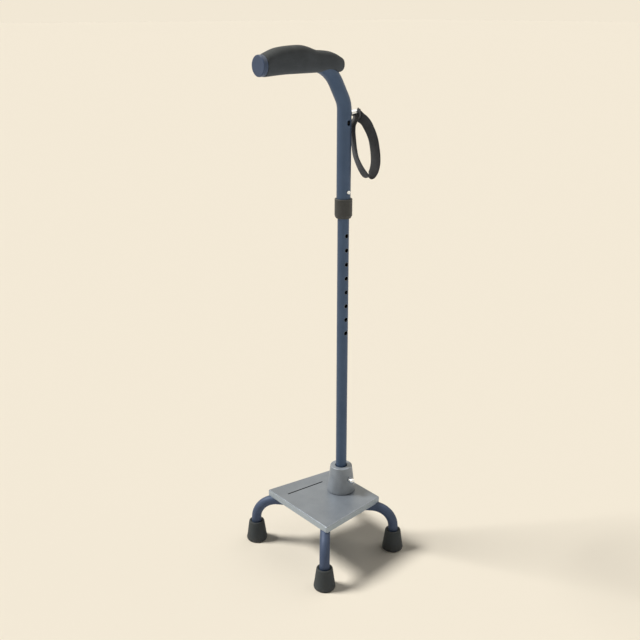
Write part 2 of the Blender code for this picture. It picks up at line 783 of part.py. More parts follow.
def leg_clamp(name, foot):
    """Block under the plate that a leg passes through."""
    top = PLATE_UNDER - GAP
    centre = polar(foot, CLAMP_REACH, (top + CLAMP_BOTTOM) / 2)
    size = (CLAMP_LENGTH, 2 * CLAMP_HALF, top - CLAMP_BOTTOM)
    clamp = block(f"leg_clamp_{name}", size, centre, foot_direction(foot))
    near = polar(foot, CLAMP_REACH - CLAMP_LENGTH, LEG_Z)
    far = polar(foot, CLAMP_REACH + CLAMP_LENGTH, LEG_Z)
    cut(clamp, rod(f"clamp_bore_{name}", LEG_HOLE_R, near, far))
    low = polar(foot, CLAMP_REACH, CLAMP_BOTTOM - CLAMP_HEAD)
    high = polar(foot, CLAMP_REACH, LEG_Z)
    cut(clamp, rod(f"clamp_hole_{name}", CLAMP_SCREW_R + GAP, low, high, 12))
    skirt = (2 * PLATE_DEPTH, 2 * PLATE_FRONT_HALF, 2 * PLATE_DEPTH)
    place = (SKIRT_INSIDE - GAP + PLATE_DEPTH, 0, PLATE_TOP - GAP)
    cut(clamp, block(f"skirt_way_{name}", skirt, place))
    return keep(clamp, grey_casting())


def clamp_screw(name, foot):
    """Screw from below that pins a leg in its clamp."""
    seat = -GAP
    tip = LEG_Z - CLAMP_BOTTOM - LEG_R / 2
    profile = (
        (0, tip),
        (CLAMP_SCREW_R, tip),
        (CLAMP_SCREW_R, seat),
        (CLAMP_HEAD_R, seat),
        (CLAMP_HEAD_R, seat - CLAMP_HEAD / 2),
        (CLAMP_HEAD_R - CLAMP_HEAD / 2, seat - CLAMP_HEAD),
        (0, seat - CLAMP_HEAD),
    )
    place = polar(foot, CLAMP_REACH, CLAMP_BOTTOM)
    return keep(turned(f"clamp_screw_{name}", profile, 12, place), plain_steel())


def foot_tip(name, foot):
    """Rubber tip with a dished top round the leg and a hollow tread."""
    hole = LEG_R + GAP
    profile = (
        (0, TIP_FLOOR),
        (hole, TIP_FLOOR),
        (hole, TIP_HEIGHT - TIP_DISH),
        (TIP_RIM_R - TIP_DISH, TIP_HEIGHT),
        (TIP_RIM_R, TIP_HEIGHT - TIP_DISH),
        (TIP_BASE_R - TIP_ROUND / 2, TIP_TOE),
        (TIP_BASE_R, TIP_TOE / 2),
        (TIP_BASE_R - TIP_ROUND / 4, TIP_ROUND),
        (TIP_BASE_R - TIP_ROUND, 0),
        (TREAD_R, 0),
        (TREAD_R, TREAD_DEPTH),
        (0, TREAD_DEPTH),
    )
    return keep(turned(f"foot_tip_{name}", profile, 20, (*foot, 0)), black_rubber())


def tip_washer(name, foot):
    """Steel washer that keeps the leg's end from cutting through the rubber."""
    hole = LEG_R / 3
    base = TIP_FLOOR + GAP
    top = base + TIP_WASHER
    profile = ((hole, base), (hole, top), (LEG_R, top), (LEG_R, base))
    return keep(turned(f"tip_washer_{name}", profile, 16, (*foot, 0)), plain_steel())


def base_plate():
    """Pressed tray with rounded edges, holes for the bolts and one short groove."""
    bm = bmesh.new()
    bmesh.ops.create_cube(bm, size=1)
    for vert in bm.verts:
        front = vert.co.x < 0
        half = PLATE_FRONT_HALF if front else PLATE_REAR_HALF
        x = -PLATE_FRONT if front else PLATE_REAR
        z = PLATE_TOP if vert.co.z > 0 else PLATE_TOP - PLATE_DEPTH
        vert.co = (x, math.copysign(half, vert.co.y), z)
    bm.normal_update()
    under = [face for face in bm.faces if face.normal.z < -0.5]
    bmesh.ops.delete(bm, geom=under, context="FACES_ONLY")
    upright = [e for e in bm.edges if abs(e.verts[0].co.z - e.verts[1].co.z) > PLATE_DEPTH / 2]
    bmesh.ops.bevel(bm, geom=upright, offset=PLATE_CORNER_R, segments=4, profile=0.5,
                    affect="EDGES")
    rim = [e for e in bm.edges
           if len(e.link_faces) == 2 and min(v.co.z for v in e.verts) > PLATE_TOP - GAP]
    bmesh.ops.bevel(bm, geom=rim, offset=PLATE_EDGE_R, segments=3, profile=0.5,
                    affect="EDGES")
    plate = from_bmesh("base_plate", bm)
    sheet = plate.modifiers.new("sheet", "SOLIDIFY")
    sheet.thickness = PLATE_SHEET
    sheet.offset = -1
    sheet.use_even_offset = True
    low = (0, 0, PLATE_UNDER - PLATE_SHEET)
    high = (0, 0, PLATE_TOP + PLATE_SHEET)
    cut(plate, rod("plate_centre_hole", CENTRE_BOLT_R + GAP, low, high))
    for n, (x, y) in enumerate(bolt_places()):
        hole = rod(f"plate_hole_{n}", BOLT_R + GAP, (x, y, low[2]), (x, y, high[2]), 12)
        cut(plate, hole)
    for name, foot in LEGS.items():
        turn = (0, 0, foot_direction(foot))
        way = bent(f"leg_way_{name}", leg_path(foot), LEG_R + RUN_GAP, LEG_SIDES,
                   location=(LEG_CROSS, 0, 0), rotation=turn)
        cut(plate, way)
    start = Vector((*GROOVE_START, PLATE_TOP))
    end = Vector((*GROOVE_END, PLATE_TOP))
    along = end - start
    size = (along.length, GROOVE_WIDTH, 2 * GROOVE_DEPTH)
    turn = math.atan2(along.y, along.x)
    cut(plate, block("groove", size, (start + end) / 2, turn))
    return keep(plate, plate_paint())


def bolt_places():
    """Four places in a square round the hub's axis."""
    angles = [math.radians(45 + 90 * n) for n in range(4)]
    return [(BOLT_CIRCLE_R * math.cos(a), BOLT_CIRCLE_R * math.sin(a)) for a in angles]


def base_hub():
    """Conical casting that the lower tube stands and turns in."""
    profile = (
        (HUB_BORE_R, HUB_BOTTOM),
        (HUB_BORE_R, HUB_TOP - HUB_MOUTH_DEPTH),
        (HUB_BORE_R + HUB_MOUTH_FLARE, HUB_TOP),
        (HUB_RIM_R - HUB_ROUND, HUB_TOP),
        (HUB_RIM_R - HUB_ROUND / 3, HUB_TOP - HUB_ROUND / 3),
        (HUB_RIM_R, HUB_TOP - HUB_ROUND),
        (HUB_BASE_R, HUB_BOTTOM + HUB_FOOT),
        (HUB_BASE_R - HUB_FOOT, HUB_BOTTOM),
    )
    hub = turned("base_hub", profile, 32)
    outside = (0, -2 * HUB_BASE_R, SCREW_Z)
    cut(hub, rod("hub_screw_hole", SCREW_SHANK_R + GAP, (0, 0, SCREW_Z), outside, 16))
    for n, (x, y) in enumerate(bolt_places()):
        low = (x, y, HUB_BOTTOM - BOLT_IN_HUB)
        high = (x, y, HUB_BOTTOM + BOLT_IN_HUB + 2 * GAP)
        cut(hub, rod(f"hub_hole_{n}", BOLT_R + GAP, low, high, 12))
    return keep(hub, grey_casting())


def hub_screw():
    """Clamp screw in the hub's side, with a long round head."""
    slope = (HUB_BASE_R - HUB_RIM_R) / HUB_HEIGHT
    face = HUB_BASE_R - slope * (SCREW_ABOVE_PLATE - SCREW_HEAD_R) + GAP
    end = face + SCREW_HEAD_LENGTH
    shoulder = end - SCREW_HEAD_R
    profile = (
        *dome(SCREW_HEAD_R, shoulder, end),
        (SCREW_HEAD_R, shoulder),
        (SCREW_HEAD_R, face),
        (SCREW_SHANK_R, face),
        (SCREW_SHANK_R, LOWER_TUBE_R + GAP),
        (0, LOWER_TUBE_R + GAP),
    )
    return keep(turned("hub_screw", profile, 16, (0, 0, SCREW_Z), TO_LEFT), bright_steel())


def leg_socket():
    """Block under the plate's middle that takes the inner ends of the four legs."""
    hole = SOCKET_HOLE_R
    top = PLATE_UNDER - GAP
    profile = ((hole, SOCKET_BOTTOM), (hole, top), (SOCKET_R, top), (SOCKET_R, SOCKET_BOTTOM))
    socket = turned("leg_socket", profile, 32, (LEG_CROSS, 0, 0))
    for name, foot in LEGS.items():
        start = polar(foot, LEG_START - GAP, LEG_Z)
        end = polar(foot, SOCKET_R + SOCKET_DEPTH, LEG_Z)
        cut(socket, rod(f"socket_bore_{name}", LEG_HOLE_R, start, end))
    return keep(socket, grey_casting())


def hex_bolt(name, place, seat, tip, shank_r, head_r, head):
    """Bolt with its head below the seat and its shank up to the tip."""
    x, y = place
    bolt = rod(name, head_r, (x, y, seat - head), (x, y, seat), 6)
    join(bolt, rod(f"{name}_shank", shank_r, (x, y, seat - head / 2), (x, y, tip), 12))
    return keep(bolt, plain_steel())


def centre_washer():
    hole = CENTRE_BOLT_R + GAP
    top = PLATE_UNDER - GAP
    bottom = top - CENTRE_WASHER
    profile = ((hole, bottom), (hole, top), (CENTRE_WASHER_R, top), (CENTRE_WASHER_R, bottom))
    return keep(turned("centre_washer", profile, 20), plain_steel())


def base():
    base_plate()
    base_hub()
    hub_screw()
    leg_socket()
    for n, place in enumerate(bolt_places(), start=1):
        hex_bolt(f"hub_bolt_{n}", place, PLATE_UNDER - GAP, HUB_BOTTOM + BOLT_IN_HUB,
                 BOLT_R, BOLT_HEAD_R, BOLT_HEAD)
    centre_washer()
    seat = PLATE_UNDER - GAP - CENTRE_WASHER - GAP
    tip = LOWER_TUBE_BOTTOM + PLUG_LENGTH - CENTRE_BOLT_R
    hex_bolt("centre_bolt", (0, 0), seat, tip, CENTRE_BOLT_R, CENTRE_HEAD_R, CENTRE_HEAD)
    for name, foot in LEGS.items():
        leg(name, foot)
        leg_clamp(name, foot)
        clamp_screw(name, foot)
        foot_tip(name, foot)
        tip_washer(name, foot)


def shaft():
    lower_tube()
    tube_plug()
    guide_bush()
    upper_tube()
    clamp_ring()
    lock_collar()
    button_spring()
    height_button()


def handle():
    handgrip()
    grip_end_cap()
    strap_pin()
    strap_washer()
    strap_screw()
    wrist_strap()


clear_scene()
cane = new_collection("quad_cane")
cutters = new_collection("cutters")
shaft_axis = bpy.data.objects.new("shaft_axis", None)
shaft_axis.location = (SHAFT_X, 0, 0)
bpy.context.scene.collection.objects.link(shaft_axis)
base()
shaft()
handle()
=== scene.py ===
"""Quad cane with an offset handle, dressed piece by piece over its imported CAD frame.

Metres, +Z up, floor at z = 0. The handle points to -X, the height button faces -Y and
the wrist strap hangs on the +X side. Every finished piece has its place in its own mesh.
"""
import math

import bmesh
import bpy
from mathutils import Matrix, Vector


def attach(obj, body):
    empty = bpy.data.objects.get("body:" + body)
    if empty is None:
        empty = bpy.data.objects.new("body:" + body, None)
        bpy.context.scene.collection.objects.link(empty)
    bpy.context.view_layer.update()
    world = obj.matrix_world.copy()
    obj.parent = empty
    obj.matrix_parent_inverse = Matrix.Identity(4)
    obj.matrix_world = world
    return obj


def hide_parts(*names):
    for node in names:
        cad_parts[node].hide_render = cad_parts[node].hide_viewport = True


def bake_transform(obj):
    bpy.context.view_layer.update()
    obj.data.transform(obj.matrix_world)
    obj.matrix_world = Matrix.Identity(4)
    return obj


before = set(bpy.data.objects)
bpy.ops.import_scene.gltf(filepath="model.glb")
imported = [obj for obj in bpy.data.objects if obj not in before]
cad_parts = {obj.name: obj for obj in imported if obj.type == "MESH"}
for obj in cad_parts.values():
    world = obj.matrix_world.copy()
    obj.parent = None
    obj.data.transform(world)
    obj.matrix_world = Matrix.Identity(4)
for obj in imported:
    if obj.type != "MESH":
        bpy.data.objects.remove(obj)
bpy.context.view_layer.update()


# -------------------- Camera
# A 50 mm lens to the front left of the cane, a little above its handle, looking down
# at the shaft's middle by nineteen degrees.
scene = bpy.context.scene
bpy.ops.object.camera_add(
    location=(-0.8882, -1.0625, 0.9195),
    rotation=(math.radians(70.686), 0, math.radians(-39.853)),
)
camera = bpy.context.object
camera.name = "camera"
camera.data.lens = 50
camera.data.sensor_width = 36
scene.camera = camera
scene.view_settings.view_transform = "Standard"


# -------------------- Floor and light
# A matt cream floor that runs to the horizon, under air of the same cream. A soft lamp
# stands high on the left, a broader and weaker one on the right behind the cane, and a
# faint one on the right before it. Light that the floor throws back is a cool white.
CREAM = (242, 232, 213)
BOUNCE = (226, 231, 240)
AIR_LIGHT = 0.04
FLOOR_SIZE = 120
LAMP_DISTANCE = 2
# Each lamp's direction of travel, its strength and its width in degrees.
LAMPS = {
    "key_lamp": ((0.424, -0.447, -0.788), 3.19, 18),
    "broad_lamp": ((-0.60, 0.08, -0.80), 0.56, 56),
    "fill_lamp": ((-0.10, 0.63, -0.77), 0.14, 60),
}


def linear(colour):
    """An sRGB colour of 0 to 255 a channel, in linear light and with its alpha."""
    shares = [channel / 255 for channel in colour]
    return (*[s / 12.92 if s <= 0.04045 else ((s + 0.055) / 1.055) ** 2.4
              for s in shares], 1)


def eyes_only(tree):
    """One for rays from the camera, a mirror or through glass, nought for all others."""
    path = tree.nodes.new("ShaderNodeLightPath")
    seen = path.outputs["Is Camera Ray"]
    for kind in ("Is Glossy Ray", "Is Transmission Ray"):
        either = tree.nodes.new("ShaderNodeMath")
        either.operation = "MAXIMUM"
        tree.links.new(seen, either.inputs[0])
        tree.links.new(path.outputs[kind], either.inputs[1])
        seen = either.outputs[0]
    return seen


bpy.ops.mesh.primitive_plane_add(size=FLOOR_SIZE)
floor = bpy.context.object
floor.name = "floor"
cream_floor = bpy.data.materials.new("cream_floor")
cream_floor.use_nodes = True
floor_nodes = cream_floor.node_tree.nodes
floor_links = cream_floor.node_tree.links
floor_nodes.remove(floor_nodes["Principled BSDF"])
matt = floor_nodes.new("ShaderNodeBsdfDiffuse")
floor_tone = floor_nodes.new("ShaderNodeMix")
floor_tone.data_type = "RGBA"
floor_tone.inputs[6].default_value = linear(BOUNCE)
floor_tone.inputs[7].default_value = linear(CREAM)
floor_links.new(eyes_only(cream_floor.node_tree), floor_tone.inputs[0])
floor_links.new(floor_tone.outputs[2], matt.inputs["Color"])
floor_links.new(matt.outputs[0], floor_nodes["Material Output"].inputs["Surface"])
floor.data.materials.append(cream_floor)

air = bpy.data.worlds.new("studio_air")
air.use_nodes = True
scene.world = air
air_nodes = air.node_tree.nodes
air_links = air.node_tree.links
air_nodes["Background"].inputs["Color"].default_value = (1, 1, 1, 1)
air_nodes["Background"].inputs["Strength"].default_value = AIR_LIGHT
backdrop = air_nodes.new("ShaderNodeBackground")
backdrop.inputs["Color"].default_value = linear(CREAM)
choice = air_nodes.new("ShaderNodeMixShader")
air_links.new(eyes_only(air.node_tree), choice.inputs["Fac"])
air_links.new(air_nodes["Background"].outputs[0], choice.inputs[1])
air_links.new(backdrop.outputs[0], choice.inputs[2])
air_links.new(choice.outputs[0], air_nodes["World Output"].inputs["Surface"])

for name, (travel, strength, spread) in LAMPS.items():
    turn = Vector(travel).to_track_quat("-Z", "Y").to_euler()
    bpy.ops.object.light_add(type="SUN", location=-LAMP_DISTANCE * Vector(travel),
                            rotation=turn)
    lamp = bpy.context.object
    lamp.name = name
    lamp.data.energy = strength
    lamp.data.angle = math.radians(spread)


# -------------------- Rubber foot tips
# Four black rubber tips, moulded in one piece and pushed over the ends of the legs.
# Each has a rounded toe, a dished mouth and a ringed tread, and holds a steel washer.
SHAFT_X = 0.048
FEET = {
    "front_left": (-0.1196, -0.0961),
    "front_right": (-0.1196, 0.0961),
    "rear_left": (0.0500, -0.0850),
    "rear_right": (0.0500, 0.0850),
}
DUST_TOP = 0.012         # height that floor dust reaches
TIP_ROWS = (
    (0.0026, 0.0005), (0.0026, 0.0015), (0.0058, 0.0015), (0.0058, 0.0005),
    (0.0080, 0.0005), (0.0080, 0.0015), (0.0110, 0.0015), (0.0110, 0.0000),
    (0.0163, 0.0000), (0.0174, 0.0004), (0.0181, 0.0013), (0.0185, 0.0030),
    (0.0185, 0.0045), (0.0182, 0.0066), (0.0177, 0.0088), (0.0170, 0.0130),
    (0.0140, 0.0350), (0.0138, 0.0362), (0.0133, 0.0373), (0.0124, 0.0380),
    (0.0115, 0.0379), (0.0098, 0.0371), (0.0090, 0.0364), (0.0089, 0.0355),
    (0.0089, 0.0080),
)


def pick(piece):
    """Pick one piece and nothing else."""
    bpy.ops.object.select_all(action="DESELECT")
    piece.select_set(True)
    bpy.context.view_layer.objects.active = piece


def dress(piece, finish):
    """Give a piece one material in place of any others."""
    piece.data.materials.clear()
    piece.data.materials.append(finish)


def edit(piece):
    """Open a piece alone, with all of it picked."""
    pick(piece)
    bpy.ops.object.mode_set(mode="EDIT")
    bpy.ops.mesh.select_all(action="SELECT")


def close_edit(face_out=True):
    """Merge what lies on itself, turn the faces outwards and leave edit mode."""
    bpy.ops.mesh.select_all(action="SELECT")
    bpy.ops.mesh.remove_doubles(threshold=0.000002)
    if face_out:
        bpy.ops.mesh.normals_make_consistent(inside=False)
    bpy.ops.object.mode_set(mode="OBJECT")


def set_down(piece, place=(0, 0, 0), turn=(0, 0, 0)):
    """Turn and move a piece, then leave its place in its mesh."""
    pick(piece)
    bpy.ops.object.transform_apply(location=True, rotation=True, scale=True)
    piece.rotation_euler = turn
    piece.location = place
    bpy.ops.object.transform_apply(location=True, rotation=True, scale=True)


def open_circle(name, sides, radius, place, turn=(0, 0, 0)):
    """Draw a circle without a face and open it, ready to be pulled out."""
    bpy.ops.object.select_all(action="DESELECT")
    bpy.ops.mesh.primitive_circle_add(vertices=sides, radius=radius, location=place,
                                      rotation=turn, fill_type="NOTHING")
    shape = bpy.context.object
    shape.name = shape.data.name = name
    bpy.ops.object.mode_set(mode="EDIT")
    return shape


def pull(*move):
    """Pull what is picked out by a move."""
    bpy.ops.mesh.extrude_region_move(TRANSFORM_OT_translate={"value": move})


def ring_by_ring(name, rows, sides=64, hollow=False):
    """Draw the first row's circle and pull it from one (radius, height) to the next.
    A last radius of nought closes to a point. A hollow piece's last ring meets its first."""
    radius, height = rows[0]
    piece = open_circle(name, sides, radius, (0, 0, height))
    for following, next_height in rows[1:]:
        pull(0, 0, next_height - height)
        if following:
            share = following / radius
            bpy.ops.transform.resize(
                value=(share, share, share), center_override=(0, 0, next_height))
        else:
            bpy.ops.mesh.merge(type="CENTER")
        radius, height = following, next_height
    bpy.ops.mesh.select_all(action="DESELECT")
    bpy.ops.mesh.select_non_manifold()
    if hollow:
        bpy.ops.mesh.bridge_edge_loops()
    else:
        bpy.ops.mesh.fill_holes(sides=0)
    close_edit()
    set_down(piece)
    return piece


def work(piece, kind, **settings):
    """Put a modifier on a piece, set it and apply it."""
    step = piece.modifiers.new(kind.lower(), kind)
    for name, value in settings.items():
        setattr(step, name, value)
    pick(piece)
    bpy.ops.object.modifier_apply(modifier=step.name)


def soften(piece, width, segments=3, sharper_than=32):
    """Round the sharp edges, and mark the rounded faces as the ones that rub first."""
    for _ in range(2):
        piece.data.materials.append(None)
    work(piece, "BEVEL", width=width, segments=segments, limit_method="ANGLE",
         angle_limit=math.radians(sharper_than), material=1, use_clamp_overlap=False)
    worn = [float(face.material_index) for face in piece.data.polygons]
    piece.data.attributes.new("rubbed", "FLOAT", "FACE").data.foreach_set("value", worn)
    for face in piece.data.polygons:
        face.material_index = 0
    piece.data.materials.clear()


def smooth(piece, angle=38):
    pick(piece)
    bpy.ops.object.shade_smooth_by_angle(angle=math.radians(angle))
    work(piece, "WEIGHTED_NORMAL", keep_sharp=True)


def twin(piece, name):
    """A copy of a piece with a mesh of its own."""
    pick(piece)
    bpy.ops.object.duplicate(linked=False)
    made = bpy.context.object
    made.name = made.data.name = name
    return made


def new_finish(name, colour, roughness, metallic=0.0, **plain):
    """A material with its plain numbers set on the shader itself."""
    finish = bpy.data.materials.new(name)
    finish.use_nodes = True
    shader = finish.node_tree.nodes["Principled BSDF"]
    shader.inputs["Base Color"].default_value = linear(colour)
    shader.inputs["Roughness"].default_value = roughness
    shader.inputs["Metallic"].default_value = metallic
    for socket, value in plain.items():
        shader.inputs[socket.replace("_", " ")].default_value = value
    return finish


def add(finish, kind, **inputs):
    """Add a node to a material. A value that is another node's output is linked."""
    node = finish.node_tree.nodes.new("ShaderNode" + kind)
    for name, value in inputs.items():
        socket = node.inputs[name.replace("_", " ")]
        if isinstance(value, bpy.types.NodeSocket):
            finish.node_tree.links.new(value, socket)
        else:
            socket.default_value = value
    return node


def give(finish, socket, value):
    """Link a value to one of the material's own shader sockets."""
    shader = finish.node_tree.nodes["Principled BSDF"]
    finish.node_tree.links.new(value, shader.inputs[socket])


def at(finish):
    return add(finish, "TexCoord").outputs["Object"]


def height_of(finish, axis="Z"):
    return add(finish, "SeparateXYZ", Vector=at(finish)).outputs[axis]


def mottle(finish, size, detail):
    """Noise with blotches of a size in metres."""
    noise = add(finish, "TexNoise", Vector=at(finish), Scale=1 / size, Detail=detail)
    return noise.outputs["Fac"]


def span(finish, value, low, high, first=0.0, last=1.0):
    """Carry a value's range from low to high over to the range from first to last."""
    node = add(finish, "MapRange")
    finish.node_tree.links.new(value, node.inputs["Value"])
    for name, number in (("From Min", low), ("From Max", high),
                         ("To Min", first), ("To Max", last)):
        node.inputs[name].default_value = number
    return node.outputs["Result"]


def figure(finish, operation, first, second=0.0):
    """A sum, product or other figure of two values."""
    node = add(finish, "Math")
    node.operation = operation
    for socket, value in zip(node.inputs, (first, second)):
        if isinstance(value, bpy.types.NodeSocket):
            finish.node_tree.links.new(value, socket)
        else:
            socket.default_value = value
    return node.outputs[0]


def times(finish, first, second):
    return figure(finish, "MULTIPLY", first, second)


def patches(finish, size, detail, low, high, first=0.0, last=1.0):
    """Blotches of a size in metres whose noise from low to high is carried over."""
    return span(finish, mottle(finish, size, detail), low, high, first, last)


def shift(finish, share, first, second):
    """The colour between two, by a share. Each is an sRGB colour or another output."""
    node = add(finish, "Mix")
    node.data_type = "RGBA"
    finish.node_tree.links.new(share, node.inputs[0])
    for socket, colour in zip(node.inputs[6:8], (first, second)):
        if isinstance(colour, bpy.types.NodeSocket):
            finish.node_tree.links.new(colour, socket)
        else:
            socket.default_value = linear(colour)
    return node.outputs[2]


def tint(finish, tone, mask, strength, colour):
    """A tone drawn towards a colour where a mask says, as far as the strength."""
    return shift(finish, times(finish, mask, strength), tone, colour)


def relief(finish, height, depth, over=None):
    """A bump of a depth in metres, over another bump if one is given."""
    node = add(finish, "Bump", Height=height, Distance=depth)
    if over:
        finish.node_tree.links.new(over, node.inputs["Normal"])
    return node.outputs["Normal"]


def rubbed(finish):
    """Where soften() rounded an edge, in patches."""
    mark = add(finish, "Attribute")
    mark.attribute_name = "rubbed"
    return times(finish, mark.outputs["Fac"], patches(finish, 0.006, 3, 0.40, 0.62))


rubber = new_finish("black_rubber", (50, 52, 50), 0.75)
bloom = patches(rubber, 0.012, 4, 0.36, 0.68)
rubber_grey = shift(rubber, bloom, (50, 54, 54), (59, 63, 63))
dust = times(rubber, span(rubber, height_of(rubber), DUST_TOP, 0.0),
             patches(rubber, 0.004, 5, 0.38, 0.66))
rubber_grey = tint(rubber, rubber_grey, dust, 0.30, (112, 106, 96))
rubber_grey = tint(rubber, rubber_grey, rubbed(rubber), 0.3, (84, 84, 80))
give(rubber, "Base Color", rubber_grey)
give(rubber, "Roughness", span(rubber, bloom, 0, 1, 0.68, 0.84))
skin = relief(rubber, mottle(rubber, 0.0007, 2), 0.00006)
give(rubber, "Normal", relief(rubber, mottle(rubber, 0.006, 2), 0.00012, skin))

plain_steel = new_finish("plain_steel", (140, 143, 146), 0.4, 1.0)
zinc = patches(plain_steel, 0.0016, 5, 0.35, 0.65)
zinc_tone = shift(plain_steel, zinc, (128, 131, 135), (158, 158, 150))
give(plain_steel, "Base Color",
     shift(plain_steel, rubbed(plain_steel), zinc_tone, (186, 188, 190)))
give(plain_steel, "Roughness", span(plain_steel, zinc, 0, 1, 0.32, 0.50))
give(plain_steel, "Normal", relief(plain_steel, mottle(plain_steel, 0.0006, 3), 0.00002))

first_tip = ring_by_ring("tip_pattern", TIP_ROWS)
soften(first_tip, 0.0004)
smooth(first_tip)
dress(first_tip, rubber)
for corner, (foot_x, foot_y) in FEET.items():
    tip = twin(first_tip, f"rubber_tip_{corner}")
    set_down(tip, (SHAFT_X + foot_x, foot_y, 0))
    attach(tip, "base")
    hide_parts(f"foot_tip_{corner}")
    dress(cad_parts[f"tip_washer_{corner}"], plain_steel)
bpy.data.objects.remove(first_tip)


# -------------------- The legs
# Four drawn aluminium tubes in blue-grey paint, a little darker and duller than the
# shaft's. Each is bent once, from the socket block under the plate to its rubber tip.
LEG_R = 0.0086
LEG_WALL = 0.0015
LEG_BEND = 0.039         # radius of the bend
LEG_CROSS = -0.03405     # where the legs' lines meet, from the shaft's axis
LEG_START = 0.0145       # from that point, as is the clamps' distance
CLAMP_REACH = 0.0580
CLAMP_HOLE_R = 0.0023
LEG_Z = 0.0830
LEG_BOTTOM = 0.0098
LEG_SIDES = 48
BEND_STEPS = 20
TO_REAR = (0, math.pi / 2, 0)


def blue_paint(name, dark, light, metallic, roughness):
    """Satin blue-grey paint with a metal flake, a fine orange peel and faint scuffs."""
    paint = new_finish(name, dark, roughness, metallic)
    tone = shift(paint, patches(paint, 0.035, 2, 0.35, 0.65), dark, light)
    flake = patches(paint, 0.0005, 1, 0.55, 0.75)
    tone = tint(paint, tone, flake, 0.25, (112, 126, 146))
    line = figure(paint, "ABSOLUTE", figure(paint, "SUBTRACT", mottle(paint, 0.011, 6), 0.5))
    scuff = times(paint, span(paint, line, 0.0035, 0.0), patches(paint, 0.028, 2, 0.56, 0.66))
    tone = tint(paint, tone, scuff, 0.5, (122, 132, 144))
    give(paint, "Base Color", tone)
    give(paint, "Roughness",
         patches(paint, 0.007, 3, 0.3, 0.7, roughness - 0.04, roughness + 0.04))
    give(paint, "Normal", relief(paint, mottle(paint, 0.0009, 1), 0.000012))
    return paint


def bent_leg(name, radius, foot):
    """A leg's open round shape that points to +X, from the socket to its foot."""
    reach = math.hypot(foot[0] - LEG_CROSS, foot[1])
    shape = open_circle(name, LEG_SIDES, radius, (LEG_START, 0, LEG_Z), TO_REAR)
    pull(reach - LEG_BEND - LEG_START, 0, 0)
    bpy.ops.mesh.spin(steps=BEND_STEPS, angle=math.radians(-90), axis=(0, 1, 0),
                      center=(reach - LEG_BEND, 0, LEG_Z - LEG_BEND))
    pull(0, 0, LEG_BOTTOM - LEG_Z + LEG_BEND)
    close_edit()
    return shape


def rods(*places, sides=32):
    """One cutter made of round rods, each with its start, end and radius."""
    bpy.ops.object.select_all(action="DESELECT")
    for start, end, radius in places:
        along = Vector(end) - Vector(start)
        bpy.ops.mesh.primitive_cylinder_add(
            vertices=sides, radius=radius, depth=along.length,
            location=Vector(start) + along / 2,
            rotation=along.to_track_quat("Z", "Y").to_euler())
        if bpy.context.mode == "OBJECT":
            bpy.ops.object.mode_set(mode="EDIT")
    bpy.ops.object.mode_set(mode="OBJECT")
    return bpy.context.object


def cut(piece, cutter, operation="DIFFERENCE"):
    work(piece, "BOOLEAN", operation=operation, solver="EXACT", object=cutter)
    bpy.data.objects.remove(cutter)


def bearing(corner):
    """Direction of a foot from the point under the plate's middle where the legs meet."""
    return math.atan2(FEET[corner][1], FEET[corner][0] - LEG_CROSS)


leg_paint = blue_paint("blue_paint_legs", (62, 76, 101), (68, 82, 107), 0.20, 0.58)
for corner, foot in FEET.items():
    leg = bent_leg(f"leg_tube_{corner}", LEG_R, foot)
    work(leg, "SOLIDIFY", thickness=LEG_WALL, offset=-1, use_even_offset=True)
    cut(leg, rods(((CLAMP_REACH, 0, LEG_Z - 2 * LEG_R), (CLAMP_REACH, 0, LEG_Z),
                   CLAMP_HOLE_R)))
    smooth(leg)
    dress(leg, leg_paint)
    set_down(leg, (SHAFT_X + LEG_CROSS, 0, 0), (0, 0, bearing(corner)))
    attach(leg, "base")
    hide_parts(f"leg_{corner}")


# -------------------- Leg socket, clamps and their bolts
# A turned alloy block under the plate takes the legs' inner ends, and a small block
# holds each leg further out. Zinc-plated screws and bolts go in from below.
GAP = 0.0003             # between pieces that fit into each other
SOCKET_REACH = 0.0300    # to well past the socket's outside
SOCKET_ROWS = ((0.0043, 0.0716), (0.0043, 0.0980), (0.0200, 0.0980), (0.0200, 0.0716))
LEG_HOLE_R = 0.0089
CLAMP_SIZE = (0.0100, 0.0208, 0.0254)
CLAMP_BOTTOM = 0.0726
CLAMP_DRILL_START = 0.0066       # under the clamp
CLAMP_SCREW_ROWS = (
    (0.0020, 0.0061), (0.0020, -0.0003), (0.0038, -0.0003), (0.0038, -0.0013),
    (0.0034, -0.0021), (0.0026, -0.0026), (0.0014, -0.0027),
)
BOLT_CIRCLE = 0.0170
BOLT_HOLE_R = 0.0028
CENTRE_HOLE_R = 0.0043
HUB_BOLT = {"seat": 0.0980, "head": 0.0035, "head_r": 0.0046, "shank_r": 0.0025,
            "tip": 0.1128}
CENTRE_BOLT = {"seat": 0.0962, "head": 0.0053, "head_r": 0.0070, "shank_r": 0.0040,
               "tip": 0.1208}
HEAD_END = 0.84          # share of a bolt head's radius that is left at its end
HEAD_CHAMFER = 0.0006
SHANK_CHAMFER = 0.0008


def polar(corner, distance, height):
    turn = bearing(corner)
    x = SHAFT_X + LEG_CROSS + distance * math.cos(turn)
    return (x, distance * math.sin(turn), height)


def bolt_places():
    """Four places in a square round the hub's axis."""
    return [(SHAFT_X + BOLT_CIRCLE * math.cos(math.radians(a)),
             BOLT_CIRCLE * math.sin(math.radians(a))) for a in (45, 135, 225, 315)]


def bolt_ways(low, high):
    """Cutting rods for the hub's bolts, between two heights."""
    return [((x, y, low), (x, y, high), BOLT_HOLE_R) for x, y in bolt_places()]


def block(size, centre, turn=0.0):
    bpy.ops.object.select_all(action="DESELECT")
    bpy.ops.mesh.primitive_cube_add(size=1, location=centre, rotation=(0, 0, turn),
                                    scale=size)
    bpy.ops.object.transform_apply(location=True, rotation=True, scale=True)
    return bpy.context.object


